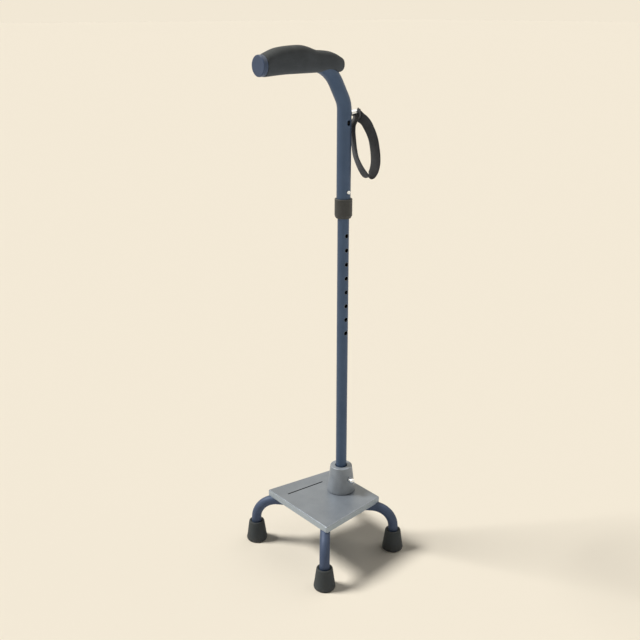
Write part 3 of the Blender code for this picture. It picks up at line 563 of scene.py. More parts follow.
def cross_slot(screw, length, width, depth, height):
    """Cut the driver's cross in a screw's head, half of its depth at each side of a height."""
    for size in ((length, width, depth), (width, length, depth)):
        cut(screw, block(size, (0, 0, height)))


def clouded(finish, size, dark, light):
    """A colour that drifts from dark to light in clouds of a size in metres."""
    return shift(finish, patches(finish, size, 3, 0.34, 0.66), dark, light)


def grey_casting(name):
    """Blasted and clear-coated alloy casting."""
    metal = new_finish(name, (148, 154, 160), 0.50, 0.30)
    tone = clouded(metal, 0.014, (142, 148, 154), (154, 160, 166))
    grit = patches(metal, 0.0006, 2, 0.50, 0.72)
    tone = tint(metal, tone, grit, 0.25, (176, 182, 188))
    tone = tint(metal, tone, rubbed(metal), 0.45, (176, 180, 182))
    give(metal, "Base Color", tone)
    give(metal, "Roughness", patches(metal, 0.003, 3, 0.3, 0.7, 0.40, 0.54))
    pits = relief(metal, mottle(metal, 0.0008, 3), 0.00004)
    give(metal, "Normal", relief(metal, mottle(metal, 0.009, 2), 0.00010, pits))
    return metal


casting = grey_casting("grey_casting")

socket = ring_by_ring("leg_socket_block", SOCKET_ROWS, 96, hollow=True)
soften(socket, 0.0007)
set_down(socket, (SHAFT_X + LEG_CROSS, 0, 0))
cut(socket, rods(*[(polar(c, LEG_START - GAP, LEG_Z), polar(c, SOCKET_REACH, LEG_Z),
                    LEG_HOLE_R) for c in FEET], sides=LEG_SIDES))
smooth(socket)
dress(socket, casting)
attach(socket, "base")
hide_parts("leg_socket")

for corner in FEET:
    clamp = block(CLAMP_SIZE, polar(corner, CLAMP_REACH, CLAMP_BOTTOM + CLAMP_SIZE[2] / 2),
                  bearing(corner))
    clamp.name = clamp.data.name = f"leg_clamp_block_{corner}"
    soften(clamp, 0.0006)
    cut(clamp, rods((polar(corner, CLAMP_REACH - CLAMP_SIZE[0], LEG_Z),
                     polar(corner, CLAMP_REACH + CLAMP_SIZE[0], LEG_Z), LEG_HOLE_R),
                    sides=LEG_SIDES))
    below = polar(corner, CLAMP_REACH, CLAMP_BOTTOM - CLAMP_DRILL_START)
    cut(clamp, rods((below, polar(corner, CLAMP_REACH, LEG_Z), CLAMP_HOLE_R)))
    smooth(clamp)
    dress(clamp, casting)
    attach(clamp, "base")
    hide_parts(f"leg_clamp_{corner}")

    screw = ring_by_ring(f"clamp_screw_head_{corner}", CLAMP_SCREW_ROWS, 32)
    soften(screw, 0.0001, 2)
    cross_slot(screw, 0.0042, 0.0009, 0.0030, -0.0031)
    smooth(screw)
    dress(screw, plain_steel)
    set_down(screw, polar(corner, CLAMP_REACH, CLAMP_BOTTOM), (0, 0, bearing(corner)))
    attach(screw, "base")
    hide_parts(f"clamp_screw_{corner}")


def hex_bolt(name, place, seat, head, head_r, shank_r, tip):
    """A bolt from below: a six-sided head with turned-down corners, and its shank."""
    low = seat - head
    bolt = ring_by_ring(name, ((HEAD_END * head_r, low), (head_r, low + HEAD_CHAMFER),
                               (head_r, seat)), 6)
    soften(bolt, 0.0002, 2)
    shank = ring_by_ring("shank", ((shank_r, seat - head / 2), (shank_r, tip - SHANK_CHAMFER),
                                   (shank_r - SHANK_CHAMFER, tip)), 32)
    cut(bolt, shank, "UNION")
    smooth(bolt, 30)
    dress(bolt, plain_steel)
    set_down(bolt, (*place, 0))
    return bolt


for number, place in enumerate(bolt_places(), start=1):
    bolt = hex_bolt(f"hub_bolt_hex_{number}", place, **HUB_BOLT)
    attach(bolt, "base")
    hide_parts(f"hub_bolt_{number}")

shaft_bolt = hex_bolt("shaft_bolt_hex", (SHAFT_X, 0), **CENTRE_BOLT)
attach(shaft_bolt, "lower_shaft")
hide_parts("centre_bolt")

shaft_washer = ring_by_ring("shaft_bolt_washer", (
    (0.0043, 0.0965), (0.0043, 0.0980), (0.0090, 0.0980), (0.0090, 0.0965)), 48, hollow=True)
soften(shaft_washer, 0.0002, 2)
smooth(shaft_washer)
dress(shaft_washer, plain_steel)
set_down(shaft_washer, (SHAFT_X, 0, 0))
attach(shaft_washer, "lower_shaft")
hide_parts("centre_washer")


# -------------------- The base plate
# One steel sheet pressed into a shallow tray that narrows to the rear, with rounded
# edges, notches for the legs and a short groove, under satin grey metal paint.
PLATE_TOP = 0.1005
PLATE_SHEET = 0.0022
PLATE_DEPTH = 0.0110
PLATE_FRONT = -0.1031    # this end and the next, from the shaft's axis
PLATE_REAR = 0.0350
PLATE_FRONT_HALF = 0.0819
PLATE_REAR_HALF = 0.0646
PLATE_CORNER_R = 0.0032
PLATE_EDGE_R = 0.0024
LEG_WAY_R = LEG_R + 0.0004
PLATE_WAY = (0.0900, 0.1100)     # heights that a cut through the plate's sheet spans
GROOVE = ((-0.0840, 0.0461), (-0.0108, 0.0406))
GROOVE_R = 0.0014
GROOVE_SINK = 0.0002     # its round former's middle under the plate's top
# The box in which the groove is painted dark, as painted shade: the axis, its middle and its
# reach both ways.
GROOVE_SHADE_BOX = (("X", SHAFT_X - 0.0478, 0.0420), ("Y", 0.0434, 0.0080))


def pick_edges(piece, wanted):
    """Pick the edges of the open piece whose two ends pass a test."""
    bpy.ops.mesh.select_mode(type="EDGE")
    bpy.ops.mesh.select_all(action="DESELECT")
    mesh = bmesh.from_edit_mesh(piece.data)
    for edge in mesh.edges:
        edge.select_set(wanted(*[vert.co for vert in edge.verts]))
    bmesh.update_edit_mesh(piece.data)


plate = block((PLATE_REAR - PLATE_FRONT, 2 * PLATE_FRONT_HALF, PLATE_DEPTH),
              (SHAFT_X + (PLATE_FRONT + PLATE_REAR) / 2, 0, PLATE_TOP - PLATE_DEPTH / 2))
plate.name = plate.data.name = "pressed_base_plate"
edit(plate)
pick_edges(plate, lambda a, b: min(a.x, b.x) > SHAFT_X)
bpy.ops.transform.resize(value=(1, PLATE_REAR_HALF / PLATE_FRONT_HALF, 1),
                         center_override=(SHAFT_X + PLATE_REAR, 0, PLATE_TOP))
pick_edges(plate, lambda a, b: abs(a.z - b.z) > PLATE_DEPTH / 2)
bpy.ops.mesh.bevel(offset=PLATE_CORNER_R, segments=8, affect="EDGES")
pick_edges(plate, lambda a, b: min(a.z, b.z) > PLATE_TOP - 0.0001)
bpy.ops.mesh.bevel(offset=PLATE_EDGE_R, segments=6, affect="EDGES")
bpy.ops.mesh.select_mode(type="FACE")
bpy.ops.mesh.select_all(action="DESELECT")
tray = bmesh.from_edit_mesh(plate.data)
for face in tray.faces:
    face.select_set(face.normal.z < -0.9)
bmesh.update_edit_mesh(plate.data)
bpy.ops.mesh.delete(type="ONLY_FACE")
bpy.ops.mesh.select_mode(type="VERT")
close_edit(face_out=False)
work(plate, "SOLIDIFY", thickness=PLATE_SHEET, offset=-1, use_even_offset=True)
soften(plate, 0.0004, 2, 50)
centre_way = [(SHAFT_X, 0, height) for height in PLATE_WAY]
cut(plate, rods((*centre_way, CENTRE_HOLE_R), *bolt_ways(*PLATE_WAY)))
for corner, foot in FEET.items():
    leg_way = bent_leg("leg_way", LEG_WAY_R, foot)
    edit(leg_way)
    bpy.ops.mesh.fill_holes(sides=0)
    close_edit()
    set_down(leg_way, (SHAFT_X + LEG_CROSS, 0, 0), (0, 0, bearing(corner)))
    cut(plate, leg_way)
groove_start = Vector((SHAFT_X + GROOVE[0][0], GROOVE[0][1], PLATE_TOP - GROOVE_SINK))
groove_run = Vector((GROOVE[1][0] - GROOVE[0][0], GROOVE[1][1] - GROOVE[0][1], 0))
bpy.ops.object.select_all(action="DESELECT")
bpy.ops.mesh.primitive_uv_sphere_add(segments=24, ring_count=12, radius=GROOVE_R)
former = bpy.context.object
edit(former)
pick_edges(former, lambda a, b: min(a.x, b.x) > 0.00001)
bpy.ops.transform.translate(value=(groove_run.length, 0, 0))
close_edit()
set_down(former, groove_start, (0, 0, math.atan2(groove_run.y, groove_run.x)))
cut(plate, former)
smooth(plate)

paint = new_finish("plate_paint", (142, 147, 150), 0.40, 0.40)
plate_tone = clouded(paint, 0.030, (130, 137, 145), (139, 146, 154))
flake = patches(paint, 0.0005, 1, 0.54, 0.74)
plate_tone = tint(paint, plate_tone, flake, 0.30, (182, 187, 190))
plate_tone = tint(paint, plate_tone, rubbed(paint), 0.4, (190, 193, 195))
below_top = figure(paint, "SUBTRACT", PLATE_TOP, height_of(paint))
# Below its rounded edge the sheet is painted lighter, as painted light from the bright floor
# that its skirt faces.
skirt_painted_light = span(paint, below_top, 0.0006, 0.0016)
plate_tone = tint(paint, plate_tone, skirt_painted_light, 0.9, (176, 185, 190))
# The groove's hollow is painted dark, as painted shade.
groove_painted_shade = span(paint, below_top, 0.0001, 0.0003)
for axis, middle, reach in GROOVE_SHADE_BOX:
    near = figure(paint, "COMPARE", height_of(paint, axis), middle)
    near.node.inputs[2].default_value = reach
    groove_painted_shade = times(paint, groove_painted_shade, near)
plate_tone = shift(paint, groove_painted_shade, plate_tone, (46, 49, 52))
give(paint, "Base Color", plate_tone)
rim = times(paint, span(paint, below_top, 0.0002, 0.0004),
            span(paint, below_top, 0.0022, 0.0016))
satin = patches(paint, 0.008, 4, 0.3, 0.7, 0.34, 0.44)
give(paint, "Roughness", figure(paint, "SUBTRACT", satin, times(paint, rim, 0.16)))
peel = relief(paint, mottle(paint, 0.0010, 1), 0.000015)
give(paint, "Normal", relief(paint, mottle(paint, 0.02, 2), 0.00012, peel))
dress(plate, paint)
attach(plate, "base")
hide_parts("base_plate")


# -------------------- The cast hub
# A conical alloy casting bolted on the plate. The shaft stands in its bore and is held
# by one bright screw with a long round head that comes in from the left side.
HUB_ROWS = (
    (0.0237, 0.1008), (0.0241, 0.1009), (0.0247, 0.1014), (0.0249, 0.1020),
    (0.0248, 0.1026), (0.0194, 0.1478), (0.0193, 0.1485), (0.0189, 0.1491),
    (0.0183, 0.1493), (0.0113, 0.1493), (0.0109, 0.1491), (0.0099, 0.1475),
    (0.0099, 0.1008),
)
SCREW_Z = 0.1290
SCREW_HOLE_R = 0.0033
SCREW_DRILL = 0.03       # from the shaft's axis to outside the hub
HUB_BOLT_WAY = (0.0900, 0.1134)
TO_LEFT = (math.pi / 2, 0, 0)

hub = ring_by_ring("cast_hub", HUB_ROWS, 96, hollow=True)
set_down(hub, (SHAFT_X, 0, 0))
cut(hub, rods(((SHAFT_X, 0, SCREW_Z), (SHAFT_X, -SCREW_DRILL, SCREW_Z), SCREW_HOLE_R),
              *bolt_ways(*HUB_BOLT_WAY)))
smooth(hub)
dress(hub, grey_casting("grey_casting_hub"))
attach(hub, "base")
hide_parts("base_hub")

bright_steel = new_finish("bright_steel", (226, 230, 236), 0.16, 1.0)
lathe = mottle(bright_steel, 0.0004, 2)
give(bright_steel, "Base Color",
     shift(bright_steel, patches(bright_steel, 0.003, 4, 0.35, 0.65),
           (214, 218, 224), (236, 240, 246)))
give(bright_steel, "Roughness", span(bright_steel, lathe, 0.3, 0.7, 0.12, 0.26))
give(bright_steel, "Normal", relief(bright_steel, lathe, 0.000006))

hub_screw = ring_by_ring("hub_clamp_screw_bright", (
    (0.0030, 0.0098), (0.0030, 0.0224), (0.0042, 0.0224), (0.0042, 0.0298),
    (0.0041, 0.0309), (0.0036, 0.0321), (0.0028, 0.0331), (0.0016, 0.0337),
    (0, 0.0338)), 48)
soften(hub_screw, 0.0003)
smooth(hub_screw)
dress(hub_screw, bright_steel)
set_down(hub_screw, (SHAFT_X, 0, SCREW_Z), TO_LEFT)
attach(hub_screw, "hub_clamp_screw")
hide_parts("hub_screw")


# -------------------- Lower shaft tube
# Drawn aluminium tube in blue-grey satin paint, drilled with the height holes on its
# left side. A nylon plug fills its foot and a nylon bush guides its top.
LOWER_TUBE_R = 0.0095
LOWER_TUBE = (0.1008, 0.6600)
TUBE_WALL = 0.0016
TUBE_SIDES = 72
HOLE_R = 0.0036
BUTTON_Z = 0.6422
HOLE_PITCH = 0.024
UNDRILLED = 2            # place in the row, inside the collar, that has no hole
HOLES = [BUTTON_Z - n * HOLE_PITCH for n in range(11) if n != UNDRILLED]
DRILL_REACH = 0.02       # from the shaft's middle to well outside its tubes
HOLE_BAND = 0.006        # from a hole's middle to the ring of the mesh beside it
PLAIN_RINGS = (0.2000, 0.3000)
BARE_RIM = 0.0003
BARE_FROM = 0.395        # height over which the holes are drilled


def straight_tube(name, radius, heights):
    """A tube's open round shape, drawn at the first height and pulled up to the others."""
    tube = open_circle(name, TUBE_SIDES, radius, (0, 0, heights[0]))
    for before, height in zip(heights, heights[1:]):
        pull(0, 0, height - before)
    return tube


rings = sorted([z + d for z in HOLES for d in (-HOLE_BAND, HOLE_BAND)])
lower_tube = straight_tube("lower_tube_painted", LOWER_TUBE_R,
                           [LOWER_TUBE[0], *PLAIN_RINGS, *rings, LOWER_TUBE[1]])
close_edit()
work(lower_tube, "SOLIDIFY", thickness=TUBE_WALL, offset=-1, use_even_offset=True)
set_down(lower_tube, (SHAFT_X, 0, 0))
cut(lower_tube, rods(*[((SHAFT_X, 0, z), (SHAFT_X, -DRILL_REACH, z), HOLE_R)
                       for z in HOLES]))
smooth(lower_tube)

SHAFT_PAINT = ((66, 85, 112), (72, 91, 118), 0.55, 0.42)
drilled = blue_paint("blue_paint_lower_tube", *SHAFT_PAINT)
across = figure(drilled, "SUBTRACT", height_of(drilled, "X"), SHAFT_X)
first_hole = BUTTON_Z - 0.5 * HOLE_PITCH
in_pitch = figure(drilled, "FLOORED_MODULO",
                  figure(drilled, "SUBTRACT", height_of(drilled), first_hole), HOLE_PITCH)
upward = figure(drilled, "SUBTRACT", in_pitch, HOLE_PITCH / 2)
from_hole = figure(drilled, "SQRT", figure(
    drilled, "ADD", times(drilled, across, across), times(drilled, upward, upward)))
ragged = figure(drilled, "ADD", from_hole,
                patches(drilled, 0.0012, 3, 0.3, 0.7, -0.0001, 0.0003))
bare = times(drilled, figure(drilled, "LESS_THAN", ragged, HOLE_R + BARE_RIM),
             figure(drilled, "GREATER_THAN", height_of(drilled), BARE_FROM))
off_blind = figure(drilled, "ABSOLUTE", figure(
    drilled, "SUBTRACT", height_of(drilled), BUTTON_Z - UNDRILLED * HOLE_PITCH))
bare = times(drilled, bare, figure(drilled, "GREATER_THAN", off_blind, HOLE_PITCH / 2))
shader = drilled.node_tree.nodes["Principled BSDF"]
painted = shader.inputs["Base Color"].links[0].from_socket
give(drilled, "Base Color", shift(drilled, bare, painted, (150, 154, 158)))
dress(lower_tube, drilled)
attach(lower_tube, "lower_shaft")
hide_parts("lower_tube")


def dark_nylon(name):
    """Moulded nylon with a fine spark-eroded skin and greyer rubbed edges."""
    nylon = new_finish(name, (58, 58, 55), 0.52)
    tone = clouded(nylon, 0.010, (54, 54, 51), (62, 62, 59))
    tone = tint(nylon, tone, rubbed(nylon), 0.4, (92, 92, 88))
    give(nylon, "Base Color", tone)
    give(nylon, "Roughness", patches(nylon, 0.002, 4, 0.3, 0.7, 0.46, 0.60))
    give(nylon, "Normal", relief(nylon, mottle(nylon, 0.0004, 2), 0.00002))
    return nylon


hidden_nylon = dark_nylon("dark_nylon_inside")
for node in ("tube_plug", "guide_bush", "clamp_ring"):
    dress(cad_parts[node], hidden_nylon)


# -------------------- Upper shaft tube and handle bend
# A wider tube in the same paint, which slides over the lower one. It is bent forward
# at its top and carries the grip, and has the button's hole and the spring's slot.
UPPER_TUBE_R = 0.0115
BEND_Z = 0.7700
LOWER_BEND_R = 0.040
LEAN = math.radians(29)  # of the straight part between the two bends
LEAN_LENGTH = 0.0254
UPPER_BEND_R = 0.060
LOWER_BEND_STEPS = 12
UPPER_BEND_STEPS = 26
HANDLE_START = 0.0698
HANDLE_Z = 0.8425
GRIP_FRONT = 0.1565
SLOT_Z = 0.7510
UPPER_RINGS = (0.6120, BUTTON_Z - HOLE_BAND, BUTTON_Z + HOLE_BAND,
               SLOT_Z - 0.007, SLOT_Z + 0.0065, BEND_Z)
SLOT_R = 0.0031
SLOT_STRETCH = 0.0024    # how much longer than wide the slot is
PIN_Z = 0.7650
PIN_HOLE_R = 0.0029


def handle_shape(name, radius, front):
    """The round shape of the upper tube, from its bottom end to the handle's front."""
    shape = straight_tube(name, radius, UPPER_RINGS)
    bpy.ops.mesh.spin(steps=LOWER_BEND_STEPS, angle=LEAN, axis=(0, 1, 0),
                      center=(-LOWER_BEND_R, 0, BEND_Z))
    pull(-LEAN_LENGTH * math.sin(LEAN), 0, LEAN_LENGTH * math.cos(LEAN))
    bpy.ops.mesh.spin(steps=UPPER_BEND_STEPS, angle=math.pi / 2 - LEAN, axis=(0, 1, 0),
                      center=(-HANDLE_START, 0, HANDLE_Z - UPPER_BEND_R))
    pull(HANDLE_START - front, 0, 0)
    close_edit()
    return shape


upper_tube = handle_shape("upper_tube_painted", UPPER_TUBE_R, GRIP_FRONT)
work(upper_tube, "SOLIDIFY", thickness=TUBE_WALL, offset=-1, use_even_offset=True)
cut(upper_tube, rods(((0, 0, BUTTON_Z), (0, -DRILL_REACH, BUTTON_Z), HOLE_R)))
slot_cutter = rods(((0, 0, SLOT_Z), (0, -DRILL_REACH, SLOT_Z), SLOT_R))
edit(slot_cutter)
bpy.ops.mesh.select_mode(type="EDGE")
bpy.ops.mesh.select_all(action="DESELECT")
stretched = bmesh.from_edit_mesh(slot_cutter.data)
for vert in stretched.verts:
    vert.select_set((slot_cutter.matrix_world @ vert.co).z > SLOT_Z)
bmesh.update_edit_mesh(slot_cutter.data)
bpy.ops.transform.translate(value=(0, 0, SLOT_STRETCH))
bpy.ops.mesh.select_all(action="SELECT")
bpy.ops.transform.translate(value=(0, 0, -SLOT_STRETCH / 2))
close_edit()
cut(upper_tube, slot_cutter)
cut(upper_tube, rods(((0, 0, PIN_Z), (DRILL_REACH, 0, PIN_Z), PIN_HOLE_R)))
smooth(upper_tube)
dress(upper_tube, blue_paint("blue_paint_upper_tube", *SHAFT_PAINT))
set_down(upper_tube, (SHAFT_X, 0, 0))
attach(upper_tube, "upper_shaft")
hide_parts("upper_tube")


# -------------------- Lock collar, height button, spring
# A moulded nylon collar screws on the upper tube's end and squeezes a split ring. A
# bright domed button stands out above it, on a steel leaf that hooks in the slot.
COLLAR_BOTTOM = 0.5990
COLLAR_ROWS = (
    (0.0102, 0.0000), (0.0102, 0.0030), (0.0118, 0.0030), (0.0118, 0.0320),
    (0.0137, 0.0320), (0.0144, 0.0313), (0.0144, 0.0046), (0.0121, 0.0000),
)
BUTTON_ROWS = (
    (0.0033, 0.0098), (0.0033, 0.0125), (0.0032, 0.0130), (0.0029, 0.0136),
    (0.0023, 0.0141), (0.0013, 0.0144), (0, 0.0145),
)
LEAF_WIDTH = 0.0050
LEAF_THICKNESS = 0.0008
LEAF_Y = -0.0052
LEAF_STEP = 0.00994
LEAF_COURSE = (
    (-0.0112, 0.7510), (-0.0077, 0.7510), (-0.0069, 0.7490), (-0.0060, 0.7430),
    *[(LEAF_Y, 0.7350 - LEAF_STEP * n) for n in range(11)],
)
STUD_R = 0.0030
STUD_END = -0.0094

collar = ring_by_ring("lock_collar_nylon", COLLAR_ROWS, 80, hollow=True)
soften(collar, 0.0005, 3, 25)
smooth(collar)
dress(collar, dark_nylon("dark_nylon"))
set_down(collar, (SHAFT_X, 0, COLLAR_BOTTOM))
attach(collar, "collar")
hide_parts("lock_collar")

button = ring_by_ring("height_button_bright", BUTTON_ROWS, 40)
smooth(button)
dress(button, bright_steel)
set_down(button, (SHAFT_X, 0, BUTTON_Z), TO_LEFT)
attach(button, "button")
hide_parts("height_button")

spring_steel = new_finish("spring_steel", (34, 35, 38), 0.45, 0.6)
blueing = patches(spring_steel, 0.002, 4, 0.35, 0.65)
give(spring_steel, "Base Color", shift(spring_steel, blueing, (28, 29, 32), (42, 42, 48)))
give(spring_steel, "Roughness", span(spring_steel, blueing, 0, 1, 0.40, 0.55))
bpy.ops.object.select_all(action="DESELECT")
bpy.ops.mesh.primitive_plane_add(size=LEAF_WIDTH, location=(SHAFT_X, *LEAF_COURSE[0]))
leaf = bpy.context.object
leaf.name = leaf.data.name = "button_leaf_spring"
edit(leaf)
bpy.ops.transform.resize(value=(1, 0, 1))
bpy.ops.mesh.remove_doubles(threshold=0.00001)
for here, there in zip(LEAF_COURSE, LEAF_COURSE[1:]):
    pull(0, there[0] - here[0], there[1] - here[1])
close_edit()
set_down(leaf)
work(leaf, "SOLIDIFY", thickness=LEAF_THICKNESS, offset=0, use_even_offset=True)
stud = rods(((SHAFT_X, LEAF_Y, BUTTON_Z), (SHAFT_X, STUD_END, BUTTON_Z), STUD_R))
cut(leaf, stud, "UNION")
smooth(leaf)
dress(leaf, spring_steel)
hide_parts("button_spring")
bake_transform(leaf)


# -------------------- The foam grip
# One moulded foam rubber body on the handle, domed under the palm, with a dip behind
# it and a nose over the bend, from whose underside the tube comes out.

# Each row is the distance from the grip's front, then the foam's thickness above,
# below and beside the tube's straight line.
GRIP_STATIONS = (
    (0.0000, 0.0042, 0.0044, 0.0038),
    (0.0100, 0.0082, 0.0040, 0.0044),
    (0.0220, 0.0122, 0.0032, 0.0049),
    (0.0380, 0.0144, 0.0025, 0.0052),
    (0.0560, 0.0154, 0.0023, 0.0052),
    (0.0690, 0.0153, 0.0023, 0.0050),
    (0.0800, 0.0131, 0.0023, 0.0044),
    (0.0900, 0.0098, 0.0023, 0.0038),
    (0.0980, 0.0076, 0.0023, 0.0034),
    (0.1080, 0.0070, 0.0023, 0.0033),
    (0.1220, 0.0053, 0.0025, 0.0032),
    (0.1335, 0.0018, 0.0029, 0.0028),
    (0.1435, -0.0028, 0.0033, 0.0006),
    (0.1478, -0.0052, 0.0012, -0.0014),
    (0.1510, -0.0084, -0.0034, -0.0056),
)
PALM = (0.862, 0.870)    # heights between which the foam is handled more and more, and painted darker as painted shade
GRIP_POINTS = 48
GRIP_SQUARENESS = 2.4
FRONT_INSET = 0.0010     # of the first row, behind the rings that round the front
# The rounding rings. At the front each is a distance from it and a share of the first
# row's size. At the rear each is a step back, a drop, and shares of the height and width.
FRONT_ROUND = ((0, 0.80), (0, 0.92), (0.0003, 0.975))
REAR_ROUND = ((0.0002, 0.0002, 0.72, 0.68), (0.0003, 0.0003, 0.35, 0.32))


def between(rows, share):
    """A row of values on the smooth line through four rows, between the middle two."""
    values = []
    for a, b, c, d in zip(*rows):
        bend = (2 * a - 5 * b + 4 * c - d) * share + (3 * (b - c) + d - a) * share ** 2
        values.append(b + 0.5 * share * (c - a + bend))
    return values


def eased(rows, steps):
    """The rows with smooth steps between each two."""
    padded_rows = (rows[0], *rows, rows[-1])
    made = [between(padded_rows[n:n + 4], s / steps)
            for n in range(len(rows) - 1) for s in range(steps)]
    return [*made, list(rows[-1])]


def rounded_square(angle, exponent):
    """A point on a squared circle of radius one."""
    power = 2 / exponent
    across, up = math.cos(angle), math.sin(angle)
    return (math.copysign(abs(across) ** power, across), math.copysign(abs(up) ** power, up))


grip_mesh = bmesh.new()
grip_rings = []
for along, above, below, beside in eased(GRIP_STATIONS, 3):
    top = HANDLE_Z + UPPER_TUBE_R + above
    bottom = HANDLE_Z - UPPER_TUBE_R - below
    half = UPPER_TUBE_R + beside
    grip_rings.append((SHAFT_X - GRIP_FRONT + along,
                       (top + bottom) / 2, (top - bottom) / 2, half))
front_x, front_mid, front_up, front_half = grip_rings[0]
rear_x, rear_mid, rear_up, rear_half = grip_rings[-1]
grip_rings[0] = (front_x + FRONT_INSET, front_mid, front_up, front_half)
grip_rings = [
    *[(front_x + back, front_mid, front_up * share, front_half * share)
      for back, share in FRONT_ROUND],
    *grip_rings,
    *[(rear_x + back, rear_mid - drop, rear_up * tall, rear_half * wide)
      for back, drop, tall, wide in REAR_ROUND],
]
loops = []
for x, mid, up_size, half in grip_rings:
    loop = []
    for point in range(GRIP_POINTS):
        across, up = rounded_square(2 * math.pi * point / GRIP_POINTS, GRIP_SQUARENESS)
        loop.append(grip_mesh.verts.new((x, across * half, mid + up * up_size)))
    loops.append(loop)
grip_mesh.faces.new(reversed(loops[0]))
grip_mesh.faces.new(loops[-1])
for loop, following in zip(loops, loops[1:]):
    for point in range(GRIP_POINTS):
        after = (point + 1) % GRIP_POINTS
        grip_mesh.faces.new((loop[point], loop[after], following[after], following[point]))
bmesh.ops.recalc_face_normals(grip_mesh, faces=grip_mesh.faces)
grip_data = bpy.data.meshes.new("foam_grip")
grip_mesh.to_mesh(grip_data)
grip_mesh.free()
grip = bpy.data.objects.new("foam_grip", grip_data)
scene.collection.objects.link(grip)
work(grip, "SUBSURF", levels=1, render_levels=1)
bore = handle_shape("grip_bore", UPPER_TUBE_R + GAP, GRIP_FRONT + 0.02)
edit(bore)
bpy.ops.mesh.fill_holes(sides=0)
close_edit()
set_down(bore, (SHAFT_X, 0, 0))
cut(grip, bore)
smooth(grip, 45)

foam = new_finish("grip_foam", (70, 71, 70), 0.92, Sheen_Weight=0.04,
                  Sheen_Roughness=0.45, Specular_IOR_Level=0.3)
cells = add(foam, "TexVoronoi", Vector=at(foam), Scale=1 / 0.0008)
pores = span(foam, cells.outputs["Distance"], 0.10, 0.45)
foam_tone = clouded(foam, 0.018, (76, 78, 77), (84, 86, 85))
# The pores' hollows are painted darker, as painted shade in the foam's cells.
foam_tone = shift(foam, figure(foam, "SUBTRACT", 1.0, pores), foam_tone, (64, 65, 64))
handled_and_shade = times(foam, span(foam, height_of(foam), *PALM),
                patches(foam, 0.02, 3, 0.40, 0.64))
# The top is painted darker, as painted shade that evens out the lamp's light on it; its lower
# roughness is the palm's real polish.
foam_tone = tint(foam, foam_tone, handled_and_shade, 0.6, (58, 59, 58))
give(foam, "Base Color", foam_tone)
give(foam, "Roughness", span(foam, handled_and_shade, 0, 1, 0.90, 0.74))
dimples = relief(foam, pores, 0.00010)
give(foam, "Normal", relief(foam, mottle(foam, 0.005, 2), 0.00015, dimples))
dress(grip, foam)
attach(grip, "upper_shaft")
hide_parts("handgrip")


# -------------------- The grip's end cap
# A round blue-grey plastic cap, moulded with a spigot that plugs the handle tube and
# holds the foam. Its outer edge is rounded.
TO_FRONT = (0, -math.pi / 2, 0)
end_cap = ring_by_ring("grip_end_cap_moulded", (
    (0.0096, -0.0080), (0.0096, 0.0000), (0.0155, 0.0000), (0.0155, 0.0062),
    (0.0153, 0.0070), (0.0148, 0.0075), (0.0140, 0.0077)), 80)
soften(end_cap, 0.0004, 3, 40)
smooth(end_cap)
plastic = new_finish("blue_plastic", (64, 80, 102), 0.44)
cap_tone = clouded(plastic, 0.008, (53, 70, 96), (58, 75, 101))
cap_tone = tint(plastic, cap_tone, rubbed(plastic), 0.4, (96, 110, 130))
give(plastic, "Base Color", cap_tone)
give(plastic, "Roughness", patches(plastic, 0.002, 4, 0.3, 0.7, 0.34, 0.46))
give(plastic, "Normal", relief(plastic, mottle(plastic, 0.0004, 2), 0.000015))
dress(end_cap, plastic)
set_down(end_cap, (SHAFT_X - GRIP_FRONT - GAP, 0, HANDLE_Z), TO_FRONT)
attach(end_cap, "upper_shaft")
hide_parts("grip_end_cap")


# -------------------- Strap pin, washer and screw
# A bright turned sleeve stands off the tube's rear side, with a neck through the
# webbing's two ends. A washer and a round-headed screw close it.
pin = ring_by_ring("strap_pin_bright", (
    (0.0017, 0.0083), (0.0017, 0.0306), (0.0026, 0.0306), (0.0026, 0.0248),
    (0.0050, 0.0248), (0.0050, 0.0118), (0.0026, 0.0118), (0.0026, 0.0083)), 48, hollow=True)
soften(pin, 0.0003)
washer = ring_by_ring("strap_washer_bright", (
    (0.0029, 0.0296), (0.0029, 0.0303), (0.0042, 0.0303), (0.0042, 0.0296)), 48, hollow=True)
soften(washer, 0.0002)
screw = ring_by_ring("strap_screw_bright", (
    (0.0014, 0.0115), (0.0014, 0.0309), (0.0039, 0.0309), (0.0038, 0.0314),
    (0.0034, 0.0321), (0.0026, 0.0327), (0.0014, 0.0330), (0, 0.0331)), 48)
cross_slot(screw, 0.0040, 0.0008, 0.0016, 0.0331)
for piece, node in ((pin, "strap_pin"), (washer, "strap_washer"), (screw, "strap_screw")):
    smooth(piece)
    dress(piece, bright_steel)
    set_down(piece, (SHAFT_X, 0, PIN_Z), TO_REAR)
    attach(piece, "upper_shaft")
    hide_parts(node)


# -------------------- The wrist strap
# One length of dark woven webbing, 19 mm wide and 1.8 mm thick. Its two punched ends lie
# on each other on the pin's neck, and it hangs beside the shaft in a twisted loop.

